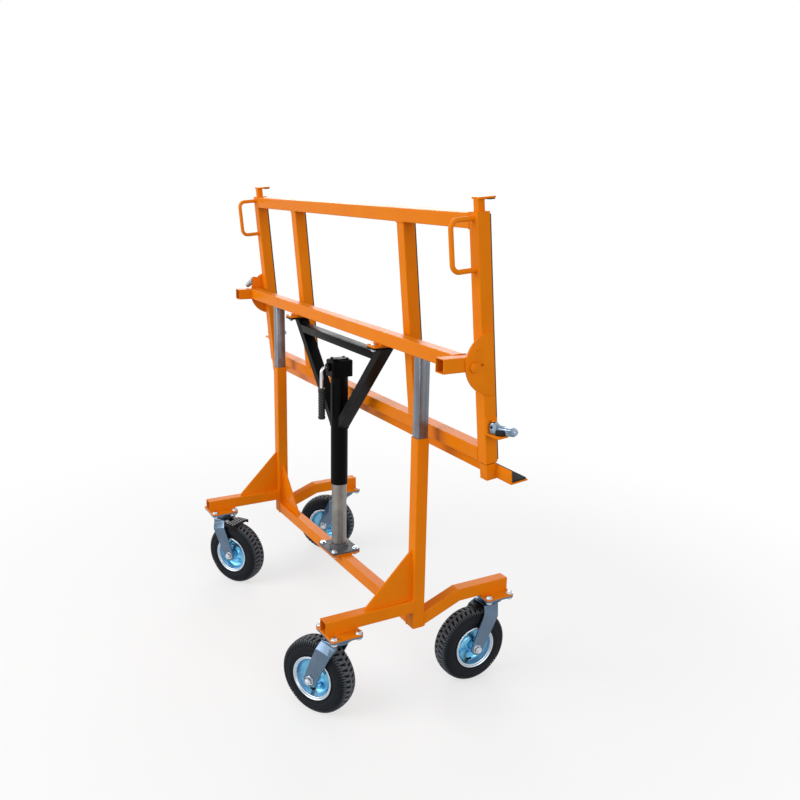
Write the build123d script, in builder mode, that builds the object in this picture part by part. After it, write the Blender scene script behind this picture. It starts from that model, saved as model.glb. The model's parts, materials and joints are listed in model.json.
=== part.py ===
from build123d import *
import math
import os

# Countertop installation cart: a four-wheeled base, a mast frame raised by a crank jack,
# and a tilting rack that takes a stone top on a shelf, against rubber strips, under two hooks.
# Millimetres, +Z up, floor at Z = 0, the operator stands at -Y and the stone leans at +Y.

# Square tube stock
TUBE = 38.0
TUBE_WALL = 2.0
TUBE_CORNER = 3.0
RACK_WALL = 2.5
MAST_WALL = 2.0
SLIDE_GAP = 0.5
PLATE = 5.0

# Wheels and casters
WHEEL_R = 114.5
TYRE_WIDTH = 68.0
TREAD_WIDTH = 48.0
TYRE_BULGE_R = 88.0
RIM_FLANGE_R = 66.5
RIM_FLANGE_WIDTH = 60.0
RIM_SEAT_R = 54.0
RIM_SEAT_WIDTH = 28.0
RIM_WELL_R = 46.0
RIM_DISC = 12.0
RIM_STEEL = 3.0
BEAD_GAP = 0.15
HUB_R = 18.0
AXLE_R = 10.0
RUNNING_FIT = 0.05
SIDE_GAP = 6.5
END_GAP = 0.5
FORK_STEEL = 5.0
FORK_TRAIL = 71.5
FORK_NECK_WIDTH = 60.0
FORK_NECK_BACK = 9.0
FORK_NECK_FRONT = 39.0
FORK_NECK_DEPTH = 20.0
FORK_SHOULDER_DROP = 26.0
LEG_END_R = 20.0
AXLE_HEAD_R = 15.0
AXLE_HEAD = 9.0
TYRE_HEADROOM = 12.0
LOWER_RACE_R = 38.0
LOWER_RACE = 12.0
UPPER_RACE_R = 43.0
UPPER_RACE = 8.0
SWIVEL_GAP = 0.4
KINGPIN_R = 10.0
KINGPIN_HEAD_R = 16.0
KINGPIN_HEAD = 5.0
CASTER_PLATE = 5.0
MOUNT_PLATE = 6.0
MOUNT_X = 112.0
MOUNT_Y = 98.0
MOUNT_CORNER = 8.0
BOLT_X = 92.0
BOLT_Y = 76.0
BOLT_R = 5.0
BOLT_HOLE_GAP = 0.5
HEX_FLATS = 16.0
HEX_HEIGHT = 7.0

# Brake pedal over the tyre, on two of the casters
BRAKED = ("front_left", "rear_right")
PEDAL_PIN_OUT = 30.0
PEDAL_PIN_DROP = 13.0
PEDAL_PIN_R = 4.0
PEDAL_HUB_R = 7.0
PEDAL_SHOE_OUT = 34.0
PEDAL_CLEARANCE = 3.5
PEDAL_TREAD = 53.0
PEDAL_SLOPE = 24.0
PEDAL_STEEL = 4.0
PEDAL_RISE = 3.0
PEDAL_RIDGES = 4
PEDAL_RIDGE = 2.0
PEDAL_RIDGE_PITCH = 10.0
PEDAL_LIP = 7.0

# Base frame
POST_X = 515.0
POST_Y = 20.0
POST_LENGTH = 579.0
POST_BELOW_FOOT = 51.5
FRONT_FOOT_REACH = 299.0
REAR_FOOT_REACH = 317.0
REAR_FOOT_BEND = 141.0
REAR_FOOT_SLOPE = 20.7
FRONT_KINGPIN = 248.5
REAR_KINGPIN = 270.0
GUSSET_REACH = 150.0
GUSSET_HEIGHT = 152.0
GUSSET_TOE = 5.0

# Lift frame
MAST_EXPOSED = 234.0
MAST_IN_POST = 320.0
BEAM_FORWARD = 13.0
STUB_X = 733.5
STUB_FORWARD = 84.0
STUB_PAST_PIVOT = 12.0
PIVOT_BACK = 2.0
PIVOT_DROP = 7.0
PIVOT_BOLT_R = 8.0
PIVOT_HEX = 24.0
PIVOT_HEX_HEIGHT = 8.0

# Jack
JACK_PAD = 6.0
JACK_FOOT = 6.0
JACK_FOOT_X = 120.0
JACK_FOOT_Y = 104.0
JACK_BOLT_X = 92.0
JACK_BOLT_Y = 78.0
JACK_COLLAR_R = 32.0
JACK_COLLAR = 14.0
OUTER_TUBE_R = 28.5
JACK_WALL = 3.0
JACK_OPEN = 229.0
INNER_TUBE_LENGTH = 362.0
NUT_PLUG = 20.0
NUT_FLANGE = 12.0
NUT_PRESS_GAP = 0.1
SCREW_R = 9.0
SCREW_GAP = 0.3
SCREW_BELOW_NUT = 120.0
COLLAR_R = 16.0
COLLAR = 6.0
THRUST_R = 22.0
THRUST = 8.0
RUN_GAP = 0.3
HEAD_X = 56.0
HEAD_Y = 74.0
HEAD_Z = 55.0
HEAD_WALL = 5.0
HEAD_CORNER = 8.0
HEAD_CROWN = 6.0
HEAD_BELOW_BAR = 49.0
HEAD_BOSS_R = 14.0
HEAD_BOSS = 9.0
CRANK_ABOVE_HEAD_BASE = 31.0
GEAR_TEETH = 16
GEAR_PITCH_R = 16.0
GEAR_ADDENDUM = 1.3
GEAR_DEDENDUM = 2.2
GEAR_FACE = 7.0
GEAR_HUB_R = 11.0
GEAR_HUB = 6.0
TOOTH_SHARE = 0.38
CRANK_R = 6.0
CRANK_OUT = 64.0
CRANK_DROP = 166.0
CRANK_BEND = 16.0
GRIP_LENGTH = 104.0
GRIP_R = 12.0
GRIP_WAIST_R = 10.0

# Bracket between jack and beam
TAB_X = 306.5
TAB_WIDTH = 46.0
TAB_FORWARD = 49.0
TAB = 6.0
TAB_PACKING = 6.0
TAB_BOLT_FORWARD = 40.0
TAB_BOLT_R = 4.0
TAB_HEX_FLATS = 13.0
TAB_HEX_HEIGHT = 6.0
BRACKET_PLATE = 6.0
ARM_WIDTH = 25.0
ARM_DEPTH = 38.0
ARM_WALL = 2.5
ARM_SLOPE = 47.2
BAR_HEIGHT = 25.0
BAR_BELOW_BEAM = 34.0
WELD_GAP = 0.1

# Tilting rack, laid out in its own leaning frame: T runs back from the pivot, S runs up the posts
LEAN = 5.36
RACK_X = 734.0
RACK_FRONT = 29.5
RACK_TOP = 372.5
RACK_BOTTOM = -267.5
UPRIGHT_X = 376.0
STRIP_WIDTH = 30.0
STRIP = 5.0
STRIP_END_GAP = 4.0
HANDLE_R = 6.5
HANDLE_DEPTH = 65.0
HANDLE_SPAN = 124.0
HANDLE_BELOW_TOP = 12.0
HANDLE_BEND = 20.0
PIVOT_PLATE_R = 82.5
PIVOT_PLATE_BACK = 58.5
PIVOT_PLATE_UP = 0.5
PIVOT_PLATE_INSET = 9.0
INDEX_HOLE_R = 4.0
INDEX_HOLE_BACK = 26.0
INDEX_HOLE_UP = 1.5
CAP = 3.0
COLLAR_DEPTH = 20.0
COLLAR_GAP = 0.2

# Shelf at the foot of the rack
SHELF_BELOW_POST = 47.0
SHELF_IN_POST = 230.0
SHELF_HALF = 812.0
SHELF_LEG = 38.0
SHELF_LEDGE = 54.0
SHELF_STEEL = 4.0
SHELF_RUBBER = 5.0
SHELF_RUBBER_INSET = 3.0

# Hooks at the head of the rack
HOOK_BAR = 20.0
HOOK_WALL = 2.0
HOOK_GAP = 0.3
HOOK_ABOVE_POST = 32.0
HOOK_PLATE = 5.0
HOOK_PLATE_WIDTH = 36.0
HOOK_REACH = 38.0
HOOK_IN_POST = 290.0
HOOK_SHOE = 20.0

# Cam locks for the shelf, and the tilt lock on the left pivot plate
LOCK_TOP = -146.5
LOCK_BOTTOM = -184.5
LOCK_STEEL = 4.0
LOCK_REACH = 52.0
LOCK_BACK = 33.0
LOCK_NOSE = 30.0
LOCK_HEAD_R = 7.0
LOCK_HEAD = 3.0
LOCK_PIN_OUT = 11.0
LOCK_PIN_R = 4.0
LEVER_HUB_R = 10.5
LEVER_END_R = 11.0
LEVER_LENGTH = 55.0
LEVER_PLAY = 0.3
LEVER_ARM = 27.0
RIGHT_LEVER_SWING = 28.0
LEFT_LEVER_SWING = 90.0
TILT_PIN_BACK = -1.5
TILT_PIN_UP = 58.5
TILT_PIN_R = 4.0
TILT_EAR_R = 12.0
TILT_LEVER = 8.0
TILT_LEVER_LENGTH = 34.0
TILT_LEVER_END_R = 8.0
TILT_LEVER_ANGLE = 214.0

# Levels and places that follow from the sizes above
yoke_low = 2 * WHEEL_R + TYRE_HEADROOM
yoke_top = yoke_low + FORK_STEEL
lower_race_top = yoke_top + LOWER_RACE
upper_race_low = lower_race_top + SWIVEL_GAP
caster_plate_low = upper_race_low + UPPER_RACE
mount_low = caster_plate_low + CASTER_PLATE
foot_low = mount_low + MOUNT_PLATE
foot_mid = foot_low + TUBE / 2
foot_top = foot_low + TUBE
post_low = foot_low - POST_BELOW_FOOT
post_top = post_low + POST_LENGTH
cross_top = post_low + TUBE
post_front = POST_Y - TUBE / 2
post_rear = POST_Y + TUBE / 2
post_bore = TUBE - 2 * TUBE_WALL
mast = post_bore - 2 * SLIDE_GAP
beam_low = post_top + MAST_EXPOSED
beam_y = POST_Y - BEAM_FORWARD
pivot_y = POST_Y + PIVOT_BACK
beam_mid = beam_low + TUBE / 2
pivot_z = beam_mid - PIVOT_DROP
leg_inner = TYRE_WIDTH / 2 + SIDE_GAP
leg_outer = leg_inner + FORK_STEEL
pedal_pin_z = yoke_top - PEDAL_PIN_DROP
bolt_hole_r = BOLT_R + BOLT_HOLE_GAP
tab_hole_r = TAB_BOLT_R + BOLT_HOLE_GAP

tab_top = beam_low - TAB_PACKING
tab_low = tab_top - TAB
bracket_plate_low = tab_low - BRACKET_PLATE
bar_top = beam_low - BAR_BELOW_BEAM
bar_low = bar_top - BAR_HEIGHT
arm_run = 1 / math.tan(math.radians(ARM_SLOPE))
arm_half_level = ARM_WIDTH / 2 / math.sin(math.radians(ARM_SLOPE))

jack_y = POST_Y
jack_foot_low = cross_top + JACK_PAD
jack_foot_top = jack_foot_low + JACK_FOOT
inner_tube_r = OUTER_TUBE_R - JACK_WALL - SLIDE_GAP
inner_bore_r = inner_tube_r - JACK_WALL
inner_tube_top = jack_foot_top + INNER_TUBE_LENGTH
outer_tube_low = jack_foot_top + JACK_OPEN
head_low = bar_low - HEAD_BELOW_BAR - HEAD_Z
outer_tube_length = head_low - outer_tube_low
crank_z = head_low + CRANK_ABOVE_HEAD_BASE
collar_top = head_low - THRUST - RUN_GAP
gear_back_z = crank_z - GEAR_PITCH_R
screw_low = inner_tube_top - NUT_PLUG - SCREW_BELOW_NUT

rack_bore = TUBE - 2 * RACK_WALL
rack_mid = RACK_FRONT + TUBE / 2
rack_rear = RACK_FRONT + TUBE
rack_inner_x = RACK_X - TUBE / 2
rack_outer_x = RACK_X + TUBE / 2
shelf_tube = rack_bore - 2 * SLIDE_GAP
shelf_low = RACK_BOTTOM - SHELF_BELOW_POST
shelf_leg_front = rack_mid + shelf_tube / 2
lock_pin_x = rack_outer_x + LOCK_STEEL + LOCK_PIN_OUT
lock_mid_t = rack_mid
lever_height = LOCK_TOP - LOCK_BOTTOM - LOCK_STEEL - 2 * LEVER_PLAY

# The rack's leaning frame: local X stays X, local Y is T and local Z is S
rack = Plane(
    origin=(0, pivot_y, pivot_z),
    x_dir=(1, 0, 0),
    z_dir=(0, -math.sin(math.radians(LEAN)), math.cos(math.radians(LEAN))),
)
SIDES = (-1, 1)
KINGPINS = [
    ("front_left", -POST_X, POST_Y - FRONT_KINGPIN, 31.0),
    ("front_right", POST_X, POST_Y - FRONT_KINGPIN, 209.0),
    ("rear_left", -POST_X, POST_Y + REAR_KINGPIN, 225.0),
    ("rear_right", POST_X, POST_Y + REAR_KINGPIN, 269.0),
]

os.makedirs("parts", exist_ok=True)


def write(part, node):
    """Label one finished piece and write it as its own file."""
    part.label = node
    export_step(part, f"parts/{node}.step")


def in_frame(frame, origin, x_dir, z_dir):
    """A sketch plane given in the axes of a placed frame."""
    return Plane(frame * Plane(origin=origin, x_dir=x_dir, z_dir=z_dir).location)


def in_rack(origin, x_dir, z_dir):
    """A sketch plane given in the rack's own X, T and S."""
    return in_frame(rack.location, origin, x_dir, z_dir)


def tube_section(size, wall):
    """The hollow section of a square tube, rounded outside."""
    RectangleRounded(size, size, TUBE_CORNER)
    Rectangle(size - 2 * wall, size - 2 * wall, mode=Mode.SUBTRACT)


# Base: two posts with a cross tube between them
with BuildPart() as base_posts:
    with BuildSketch(*[Plane(origin=(side * POST_X, POST_Y, post_low)) for side in SIDES]):
        tube_section(TUBE, TUBE_WALL)
    extrude(amount=POST_LENGTH)
write(base_posts.part, "base_posts")

cross_length = 2 * POST_X - TUBE
with BuildPart() as cross_tube:
    with BuildSketch(
        Plane(origin=(-cross_length / 2, POST_Y, post_low + TUBE / 2), x_dir=(0, 1, 0), z_dir=(1, 0, 0))
    ):
        tube_section(TUBE, TUBE_WALL)
    extrude(amount=cross_length)
write(cross_tube.part, "cross_tube")

# Front feet run straight out from the posts, open at the ends
with BuildPart() as front_feet:
    with BuildSketch(
        *[
            Plane(origin=(side * POST_X, post_front, foot_mid), x_dir=(1, 0, 0), z_dir=(0, -1, 0))
            for side in SIDES
        ]
    ):
        tube_section(TUBE, TUBE_WALL)
    extrude(amount=FRONT_FOOT_REACH - TUBE / 2)
write(front_feet.part, "front_feet")

# Rear feet climb from the bottom of the posts, then run level
rear_rise = REAR_FOOT_BEND * math.tan(math.radians(REAR_FOOT_SLOPE))
rear_path = [
    (POST_Y, foot_mid - rear_rise),
    (POST_Y + REAR_FOOT_BEND, foot_mid),
    (POST_Y + REAR_FOOT_REACH, foot_mid),
]
with BuildPart() as rear_feet:
    for side in SIDES:
        with BuildSketch(Plane(origin=(side * POST_X, 0, 0), x_dir=(0, 1, 0), z_dir=(1, 0, 0))):
            with BuildLine():
                Polyline(*rear_path)
            trace(line_width=TUBE)
        extrude(amount=TUBE / 2, both=True)
    fillet(rear_feet.edges().filter_by(lambda edge: edge.length > 2 * TUBE), TUBE_CORNER)
    for side in SIDES:
        with BuildSketch(Plane(origin=(side * POST_X, 0, 0), x_dir=(0, 1, 0), z_dir=(1, 0, 0))):
            with BuildLine():
                Polyline(*rear_path)
            trace(line_width=TUBE - 2 * TUBE_WALL)
        extrude(amount=TUBE / 2 - TUBE_WALL, both=True, mode=Mode.SUBTRACT)
    split(bisect_by=Plane(origin=(0, post_rear, 0), z_dir=(0, 1, 0)), keep=Keep.TOP)
write(rear_feet.part, "rear_feet")

# Gussets between post and front foot, and between post and cross tube
gusset_planes = [
    Plane(origin=(side * POST_X, post_front, foot_top), x_dir=(0, -1, 0), z_dir=(-1, 0, 0))
    for side in SIDES
] + [
    Plane(origin=(side * cross_length / 2, POST_Y, cross_top), x_dir=(-side, 0, 0), z_dir=(0, side, 0))
    for side in SIDES
]
with BuildPart() as gussets:
    with BuildSketch(*gusset_planes):
        with BuildLine():
            Polyline(
                (0, 0),
                (GUSSET_REACH, 0),
                (GUSSET_REACH, GUSSET_TOE),
                (GUSSET_TOE, GUSSET_HEIGHT),
                (0, GUSSET_HEIGHT),
                close=True,
            )
        make_face()
    extrude(amount=PLATE / 2, both=True)
write(gussets.part, "gussets")

# Plates under the feet that carry the casters
kingpin_points = [(x, y) for _, x, y, _ in KINGPINS]
with BuildPart() as caster_mount_plates:
    with BuildSketch(*[Plane(origin=(x, y, mount_low)) for x, y in kingpin_points]):
        RectangleRounded(MOUNT_X, MOUNT_Y, MOUNT_CORNER)
        with GridLocations(BOLT_X, BOLT_Y, 2, 2):
            Circle(bolt_hole_r, mode=Mode.SUBTRACT)
    extrude(amount=MOUNT_PLATE)
write(caster_mount_plates.part, "caster_mount_plates")

# Caster top plates, each with its upper race and riveted kingpin
with BuildPart() as caster_top_plates:
    with BuildSketch(*[Plane(origin=(x, y, caster_plate_low)) for x, y in kingpin_points]):
        RectangleRounded(MOUNT_X, MOUNT_Y, MOUNT_CORNER)
        with GridLocations(BOLT_X, BOLT_Y, 2, 2):
            Circle(bolt_hole_r, mode=Mode.SUBTRACT)
    extrude(amount=CASTER_PLATE)
    with BuildSketch(*[Plane(origin=(x, y, upper_race_low)) for x, y in kingpin_points]):
        Circle(UPPER_RACE_R)
    extrude(amount=UPPER_RACE)
    with BuildSketch(*[Plane(origin=(x, y, yoke_low - SWIVEL_GAP)) for x, y in kingpin_points]):
        Circle(KINGPIN_R)
    extrude(amount=upper_race_low - yoke_low + SWIVEL_GAP)
    with BuildSketch(
        *[Plane(origin=(x, y, yoke_low - SWIVEL_GAP - KINGPIN_HEAD)) for x, y in kingpin_points]
    ):
        Circle(KINGPIN_HEAD_R)
    extrude(amount=KINGPIN_HEAD)
write(caster_top_plates.part, "caster_top_plates")

# Pad plate welded on the cross tube, and the jack's foot plate bolted on it
with BuildPart() as jack_pad_plate:
    with BuildSketch(Plane(origin=(0, jack_y, cross_top))):
        RectangleRounded(JACK_FOOT_X, JACK_FOOT_Y, MOUNT_CORNER)
        with GridLocations(JACK_BOLT_X, JACK_BOLT_Y, 2, 2):
            Circle(bolt_hole_r, mode=Mode.SUBTRACT)
    extrude(amount=JACK_PAD)
write(jack_pad_plate.part, "jack_pad_plate")

with BuildPart() as jack_foot_plate:
    with BuildSketch(Plane(origin=(0, jack_y, jack_foot_low))):
        RectangleRounded(JACK_FOOT_X, JACK_FOOT_Y, MOUNT_CORNER)
        with GridLocations(JACK_BOLT_X, JACK_BOLT_Y, 2, 2):
            Circle(bolt_hole_r, mode=Mode.SUBTRACT)
    extrude(amount=JACK_FOOT)
    with BuildSketch(Plane(origin=(0, jack_y, jack_foot_top))):
        Circle(JACK_COLLAR_R)
        Circle(inner_tube_r + WELD_GAP, mode=Mode.SUBTRACT)
    extrude(amount=JACK_COLLAR)
write(jack_foot_plate.part, "jack_foot_plate")

# One bolt, head up and nut below, for every hole of the base
bolt_places = [
    (x + dx * BOLT_X / 2, y + dy * BOLT_Y / 2, caster_plate_low, foot_low)
    for x, y in kingpin_points
    for dx in SIDES
    for dy in SIDES
] + [
    (dx * JACK_BOLT_X / 2, jack_y + dy * JACK_BOLT_Y / 2, cross_top, jack_foot_top)
    for dx in SIDES
    for dy in SIDES
]
with BuildPart() as base_bolts:
    for x, y, grip_low, grip_high in bolt_places:
        with BuildSketch(Plane(origin=(x, y, grip_low))):
            Circle(BOLT_R)
        extrude(amount=grip_high - grip_low)
        with BuildSketch(Plane(origin=(x, y, grip_high)), Plane(origin=(x, y, grip_low - HEX_HEIGHT))):
            RegularPolygon(HEX_FLATS / 2, 6, major_radius=False)
        extrude(amount=HEX_HEIGHT)
write(base_bolts.part, "base_bolts")

# Jack: the inner tube stands on the foot plate and carries the nut at its top
with BuildPart() as jack_inner_tube:
    with BuildSketch(Plane(origin=(0, jack_y, jack_foot_top))):
        Circle(inner_tube_r)
        Circle(inner_bore_r, mode=Mode.SUBTRACT)
    extrude(amount=INNER_TUBE_LENGTH)
write(jack_inner_tube.part, "jack_inner_tube")

with BuildPart() as jack_nut:
    with BuildSketch(Plane(origin=(0, jack_y, inner_tube_top - NUT_PLUG))):
        Circle(inner_bore_r - NUT_PRESS_GAP)
        Circle(SCREW_R + SCREW_GAP, mode=Mode.SUBTRACT)
    extrude(amount=NUT_PLUG)
    with BuildSketch(Plane(origin=(0, jack_y, inner_tube_top))):
        Circle(inner_tube_r)
        Circle(SCREW_R + SCREW_GAP, mode=Mode.SUBTRACT)
    extrude(amount=NUT_FLANGE)
write(jack_nut.part, "jack_nut")

# Lift frame: masts that slide in the posts, the beam on top and a stub at each end
with BuildPart() as masts:
    with BuildSketch(*[Plane(origin=(side * POST_X, POST_Y, post_top - MAST_IN_POST)) for side in SIDES]):
        tube_section(mast, MAST_WALL)
    extrude(amount=MAST_IN_POST + MAST_EXPOSED)
write(masts.part, "masts")

beam_length = 2 * STUB_X - TUBE
with BuildPart() as lift_beam:
    with BuildSketch(Plane(origin=(-beam_length / 2, beam_y, beam_mid), x_dir=(0, 1, 0), z_dir=(1, 0, 0))):
        tube_section(TUBE, TUBE_WALL)
    extrude(amount=beam_length)
write(lift_beam.part, "lift_beam")

stub_rear = pivot_y + STUB_PAST_PIVOT
stub_front = POST_Y - STUB_FORWARD
with BuildPart() as stub_tubes:
    with BuildSketch(
        *[
            Plane(origin=(side * STUB_X, stub_rear, beam_mid), x_dir=(1, 0, 0), z_dir=(0, -1, 0))
            for side in SIDES
        ]
    ):
        tube_section(TUBE, RACK_WALL)
    extrude(amount=stub_rear - stub_front)
    for side in SIDES:
        with BuildSketch(
            Plane(origin=(side * STUB_X, pivot_y, pivot_z), x_dir=(0, 1, 0), z_dir=(side, 0, 0))
        ):
            Circle(PIVOT_BOLT_R + RUNNING_FIT)
        extrude(amount=TUBE, mode=Mode.SUBTRACT)
write(stub_tubes.part, "stub_tubes")

# Pivot bolts: a stud welded inside the stub, with its head outside the rack's plate
stub_bore_x = STUB_X - TUBE / 2 + RACK_WALL
plate_outer_x = rack_outer_x + PLATE
with BuildPart() as pivot_bolts:
    for side in SIDES:
        outward = dict(x_dir=(0, 1, 0), z_dir=(side, 0, 0))
        with BuildSketch(Plane(origin=(side * stub_bore_x, pivot_y, pivot_z), **outward)):
            Circle(PIVOT_BOLT_R)
        extrude(amount=plate_outer_x + RUN_GAP - stub_bore_x)
        with BuildSketch(Plane(origin=(side * (plate_outer_x + RUN_GAP), pivot_y, pivot_z), **outward)):
            RegularPolygon(PIVOT_HEX / 2, 6, major_radius=False)
        extrude(amount=PIVOT_HEX_HEIGHT)
write(pivot_bolts.part, "pivot_bolts")

# Tabs packed down from the beam, and the black bracket that hangs the jack from them
tab_front = POST_Y - TAB_FORWARD
tab_rear = beam_y + TUBE / 2
tab_mid = (tab_front + tab_rear) / 2
tab_bolt_y = POST_Y - TAB_BOLT_FORWARD
with BuildPart() as bracket_tabs:
    with BuildSketch(*[Plane(origin=(side * TAB_X, tab_mid, tab_low)) for side in SIDES]):
        Rectangle(TAB_WIDTH, tab_rear - tab_front)
        with Locations((0, tab_bolt_y - tab_mid)):
            Circle(tab_hole_r, mode=Mode.SUBTRACT)
    extrude(amount=TAB)
    with BuildSketch(*[Plane(origin=(side * TAB_X, beam_y, tab_top)) for side in SIDES]):
        Rectangle(TAB_WIDTH, TUBE - 2 * TAB_PACKING)
    extrude(amount=TAB_PACKING)
write(bracket_tabs.part, "bracket_tabs")

arm_top = bracket_plate_low
arm_top_x = TAB_X
arm_low = arm_top - arm_top_x / arm_run
plate_rear = jack_y + ARM_DEPTH / 2
plate_mid = (tab_front + plate_rear) / 2
arm_plane = Plane(origin=(0, jack_y, 0), x_dir=(1, 0, 0), z_dir=(0, -1, 0))
with BuildPart() as bracket_arms:
    for side in SIDES:
        for width, depth, how in (
            (ARM_WIDTH, ARM_DEPTH, Mode.ADD),
            (ARM_WIDTH - 2 * ARM_WALL, ARM_DEPTH - 2 * ARM_WALL, Mode.SUBTRACT),
        ):
            with BuildSketch(arm_plane):
                with BuildLine():
                    Line(
                        (side * (arm_top_x + TUBE * arm_run), arm_top + TUBE),
                        (0, arm_low),
                    )
                trace(line_width=width)
            extrude(amount=depth / 2, both=True, mode=how)
    with BuildSketch(Plane(origin=(0, jack_y, arm_top))):
        Rectangle(4 * TAB_X, 4 * TUBE)
    extrude(amount=4 * TUBE, mode=Mode.SUBTRACT)
    with BuildSketch(*[Plane(origin=(side * TAB_X, plate_mid, bracket_plate_low)) for side in SIDES]):
        Rectangle(TAB_WIDTH, plate_rear - tab_front)
        with Locations((0, tab_bolt_y - plate_mid)):
            Circle(tab_hole_r, mode=Mode.SUBTRACT)
    extrude(amount=BRACKET_PLATE)
    with BuildSketch(Plane(origin=(0, jack_y, outer_tube_low))):
        Circle(OUTER_TUBE_R + WELD_GAP)
    extrude(amount=outer_tube_length, mode=Mode.SUBTRACT)
    with BuildSketch(Plane(origin=(0, jack_y, 0))):
        Rectangle(2 * OUTER_TUBE_R, 2 * ARM_DEPTH)
    extrude(amount=arm_top, mode=Mode.SUBTRACT)
write(bracket_arms.part, "bracket_arms")


def bar_end(level):
    """Half length of the bracket bar at a level, up to the inner faces of the arms."""
    return arm_top_x - (arm_top - level) * arm_run - arm_half_level


with BuildPart() as bracket_bar:
    with BuildSketch(arm_plane):
        with BuildLine():
            Polyline(
                (-bar_end(bar_low), bar_low),
                (bar_end(bar_low), bar_low),
                (bar_end(bar_top), bar_top),
                (-bar_end(bar_top), bar_top),
                close=True,
            )
        make_face()
    extrude(amount=ARM_DEPTH / 2, both=True)
    with BuildSketch(
        Plane(origin=(-TAB_X, jack_y, (bar_low + bar_top) / 2), x_dir=(0, 1, 0), z_dir=(1, 0, 0))
    ):
        Rectangle(ARM_DEPTH - 2 * ARM_WALL, BAR_HEIGHT - 2 * ARM_WALL)
    extrude(amount=2 * TAB_X, mode=Mode.SUBTRACT)
write(bracket_bar.part, "bracket_bar")

with BuildPart() as bracket_bolts:
    for side in SIDES:
        with BuildSketch(Plane(origin=(side * TAB_X, tab_bolt_y, bracket_plate_low))):
            Circle(TAB_BOLT_R)
        extrude(amount=tab_top - bracket_plate_low)
        with BuildSketch(
            Plane(origin=(side * TAB_X, tab_bolt_y, tab_top)),
            Plane(origin=(side * TAB_X, tab_bolt_y, bracket_plate_low - TAB_HEX_HEIGHT)),
        ):
            RegularPolygon(TAB_HEX_FLATS / 2, 6, major_radius=False)
        extrude(amount=TAB_HEX_HEIGHT)
write(bracket_bolts.part, "bracket_bolts")

# Jack outer tube, gear head and thrust bearing
with BuildPart() as jack_outer_tube:
    with BuildSketch(Plane(origin=(0, jack_y, outer_tube_low))):
        Circle(OUTER_TUBE_R)
        Circle(OUTER_TUBE_R - JACK_WALL, mode=Mode.SUBTRACT)
    extrude(amount=outer_tube_length)
write(jack_outer_tube.part, "jack_outer_tube")

with BuildPart() as jack_head:
    with BuildSketch(Plane(origin=(0, jack_y, head_low))):
        RectangleRounded(HEAD_X, HEAD_Y, HEAD_CORNER)
    extrude(amount=HEAD_Z)
    fillet(jack_head.faces().sort_by(Axis.Z)[-1].edges(), HEAD_CROWN)
    with BuildSketch(Plane(origin=(0, jack_y - HEAD_Y / 2, crank_z), x_dir=(1, 0, 0), z_dir=(0, -1, 0))):
        Circle(HEAD_BOSS_R)
    extrude(amount=HEAD_BOSS)
    with BuildSketch(Plane(origin=(0, jack_y, head_low + HEAD_WALL))):
        Rectangle(HEAD_X - 2 * HEAD_WALL, HEAD_Y - 2 * HEAD_WALL)
    extrude(amount=HEAD_Z - 2 * HEAD_WALL, mode=Mode.SUBTRACT)
    with BuildSketch(Plane(origin=(0, jack_y, head_low))):
        Circle(SCREW_R + RUNNING_FIT)
    extrude(amount=HEAD_WALL, mode=Mode.SUBTRACT)
    with BuildSketch(Plane(origin=(0, jack_y, crank_z), x_dir=(1, 0, 0), z_dir=(0, -1, 0))):
        Circle(CRANK_R + RUNNING_FIT)
    extrude(amount=HEAD_Y, mode=Mode.SUBTRACT)
write(jack_head.part, "jack_head")

with BuildPart() as thrust_bearing:
    with BuildSketch(Plane(origin=(0, jack_y, head_low - THRUST))):
        Circle(THRUST_R)
        Circle(SCREW_R + RUNNING_FIT, mode=Mode.SUBTRACT)
    extrude(amount=THRUST)
write(thrust_bearing.part, "thrust_bearing")

# Mitre gears: straight teeth that all run to the point where the two axes cross
cone_distance = GEAR_PITCH_R * math.sqrt(2)
small_end = 1 - GEAR_FACE / cone_distance
pitch_cone = math.radians(45)
gear_tip_r = GEAR_PITCH_R * math.tan(pitch_cone + math.atan(GEAR_ADDENDUM / cone_distance))
gear_root_r = GEAR_PITCH_R * math.tan(pitch_cone - math.atan(GEAR_DEDENDUM / cone_distance))
tooth_pitch = 2 * math.pi * GEAR_PITCH_R / GEAR_TEETH
tooth_root = tooth_pitch * (TOOTH_SHARE + 0.12)
tooth_tip = tooth_pitch * (TOOTH_SHARE - 0.12)


def gear_outline(scale, turn):
    """The toothed outline of a mitre gear at one end of its face."""
    Circle(gear_root_r * scale)
    with PolarLocations(0, GEAR_TEETH, start_angle=turn):
        with BuildLine(mode=Mode.PRIVATE) as tooth:
            Polyline(
                (0, -tooth_root / 2 * scale),
                (gear_root_r * scale, -tooth_root / 2 * scale),
                (gear_tip_r * scale, -tooth_tip / 2 * scale),
                (gear_tip_r * scale, tooth_tip / 2 * scale),
                (gear_root_r * scale, tooth_root / 2 * scale),
                (0, tooth_root / 2 * scale),
                close=True,
            )
        make_face(tooth.edges())


screw_tooth_turn = 360 / GEAR_TEETH / 2
with BuildPart() as lead_screw:
    with BuildSketch(Plane(origin=(0, jack_y, gear_back_z))):
        gear_outline(1, screw_tooth_turn)
    with BuildSketch(Plane(origin=(0, jack_y, crank_z - GEAR_PITCH_R * small_end))):
        gear_outline(small_end, screw_tooth_turn)
    loft(ruled=True)
    with BuildSketch(Plane(origin=(0, jack_y, gear_back_z - GEAR_HUB))):
        Circle(GEAR_HUB_R)
    extrude(amount=GEAR_HUB)
    with BuildSketch(Plane(origin=(0, jack_y, screw_low))):
        Circle(SCREW_R)
    extrude(amount=gear_back_z - screw_low)
    with BuildSketch(Plane(origin=(0, jack_y, collar_top - COLLAR))):
        Circle(COLLAR_R)
    extrude(amount=COLLAR)
write(lead_screw.part, "lead_screw")

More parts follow.
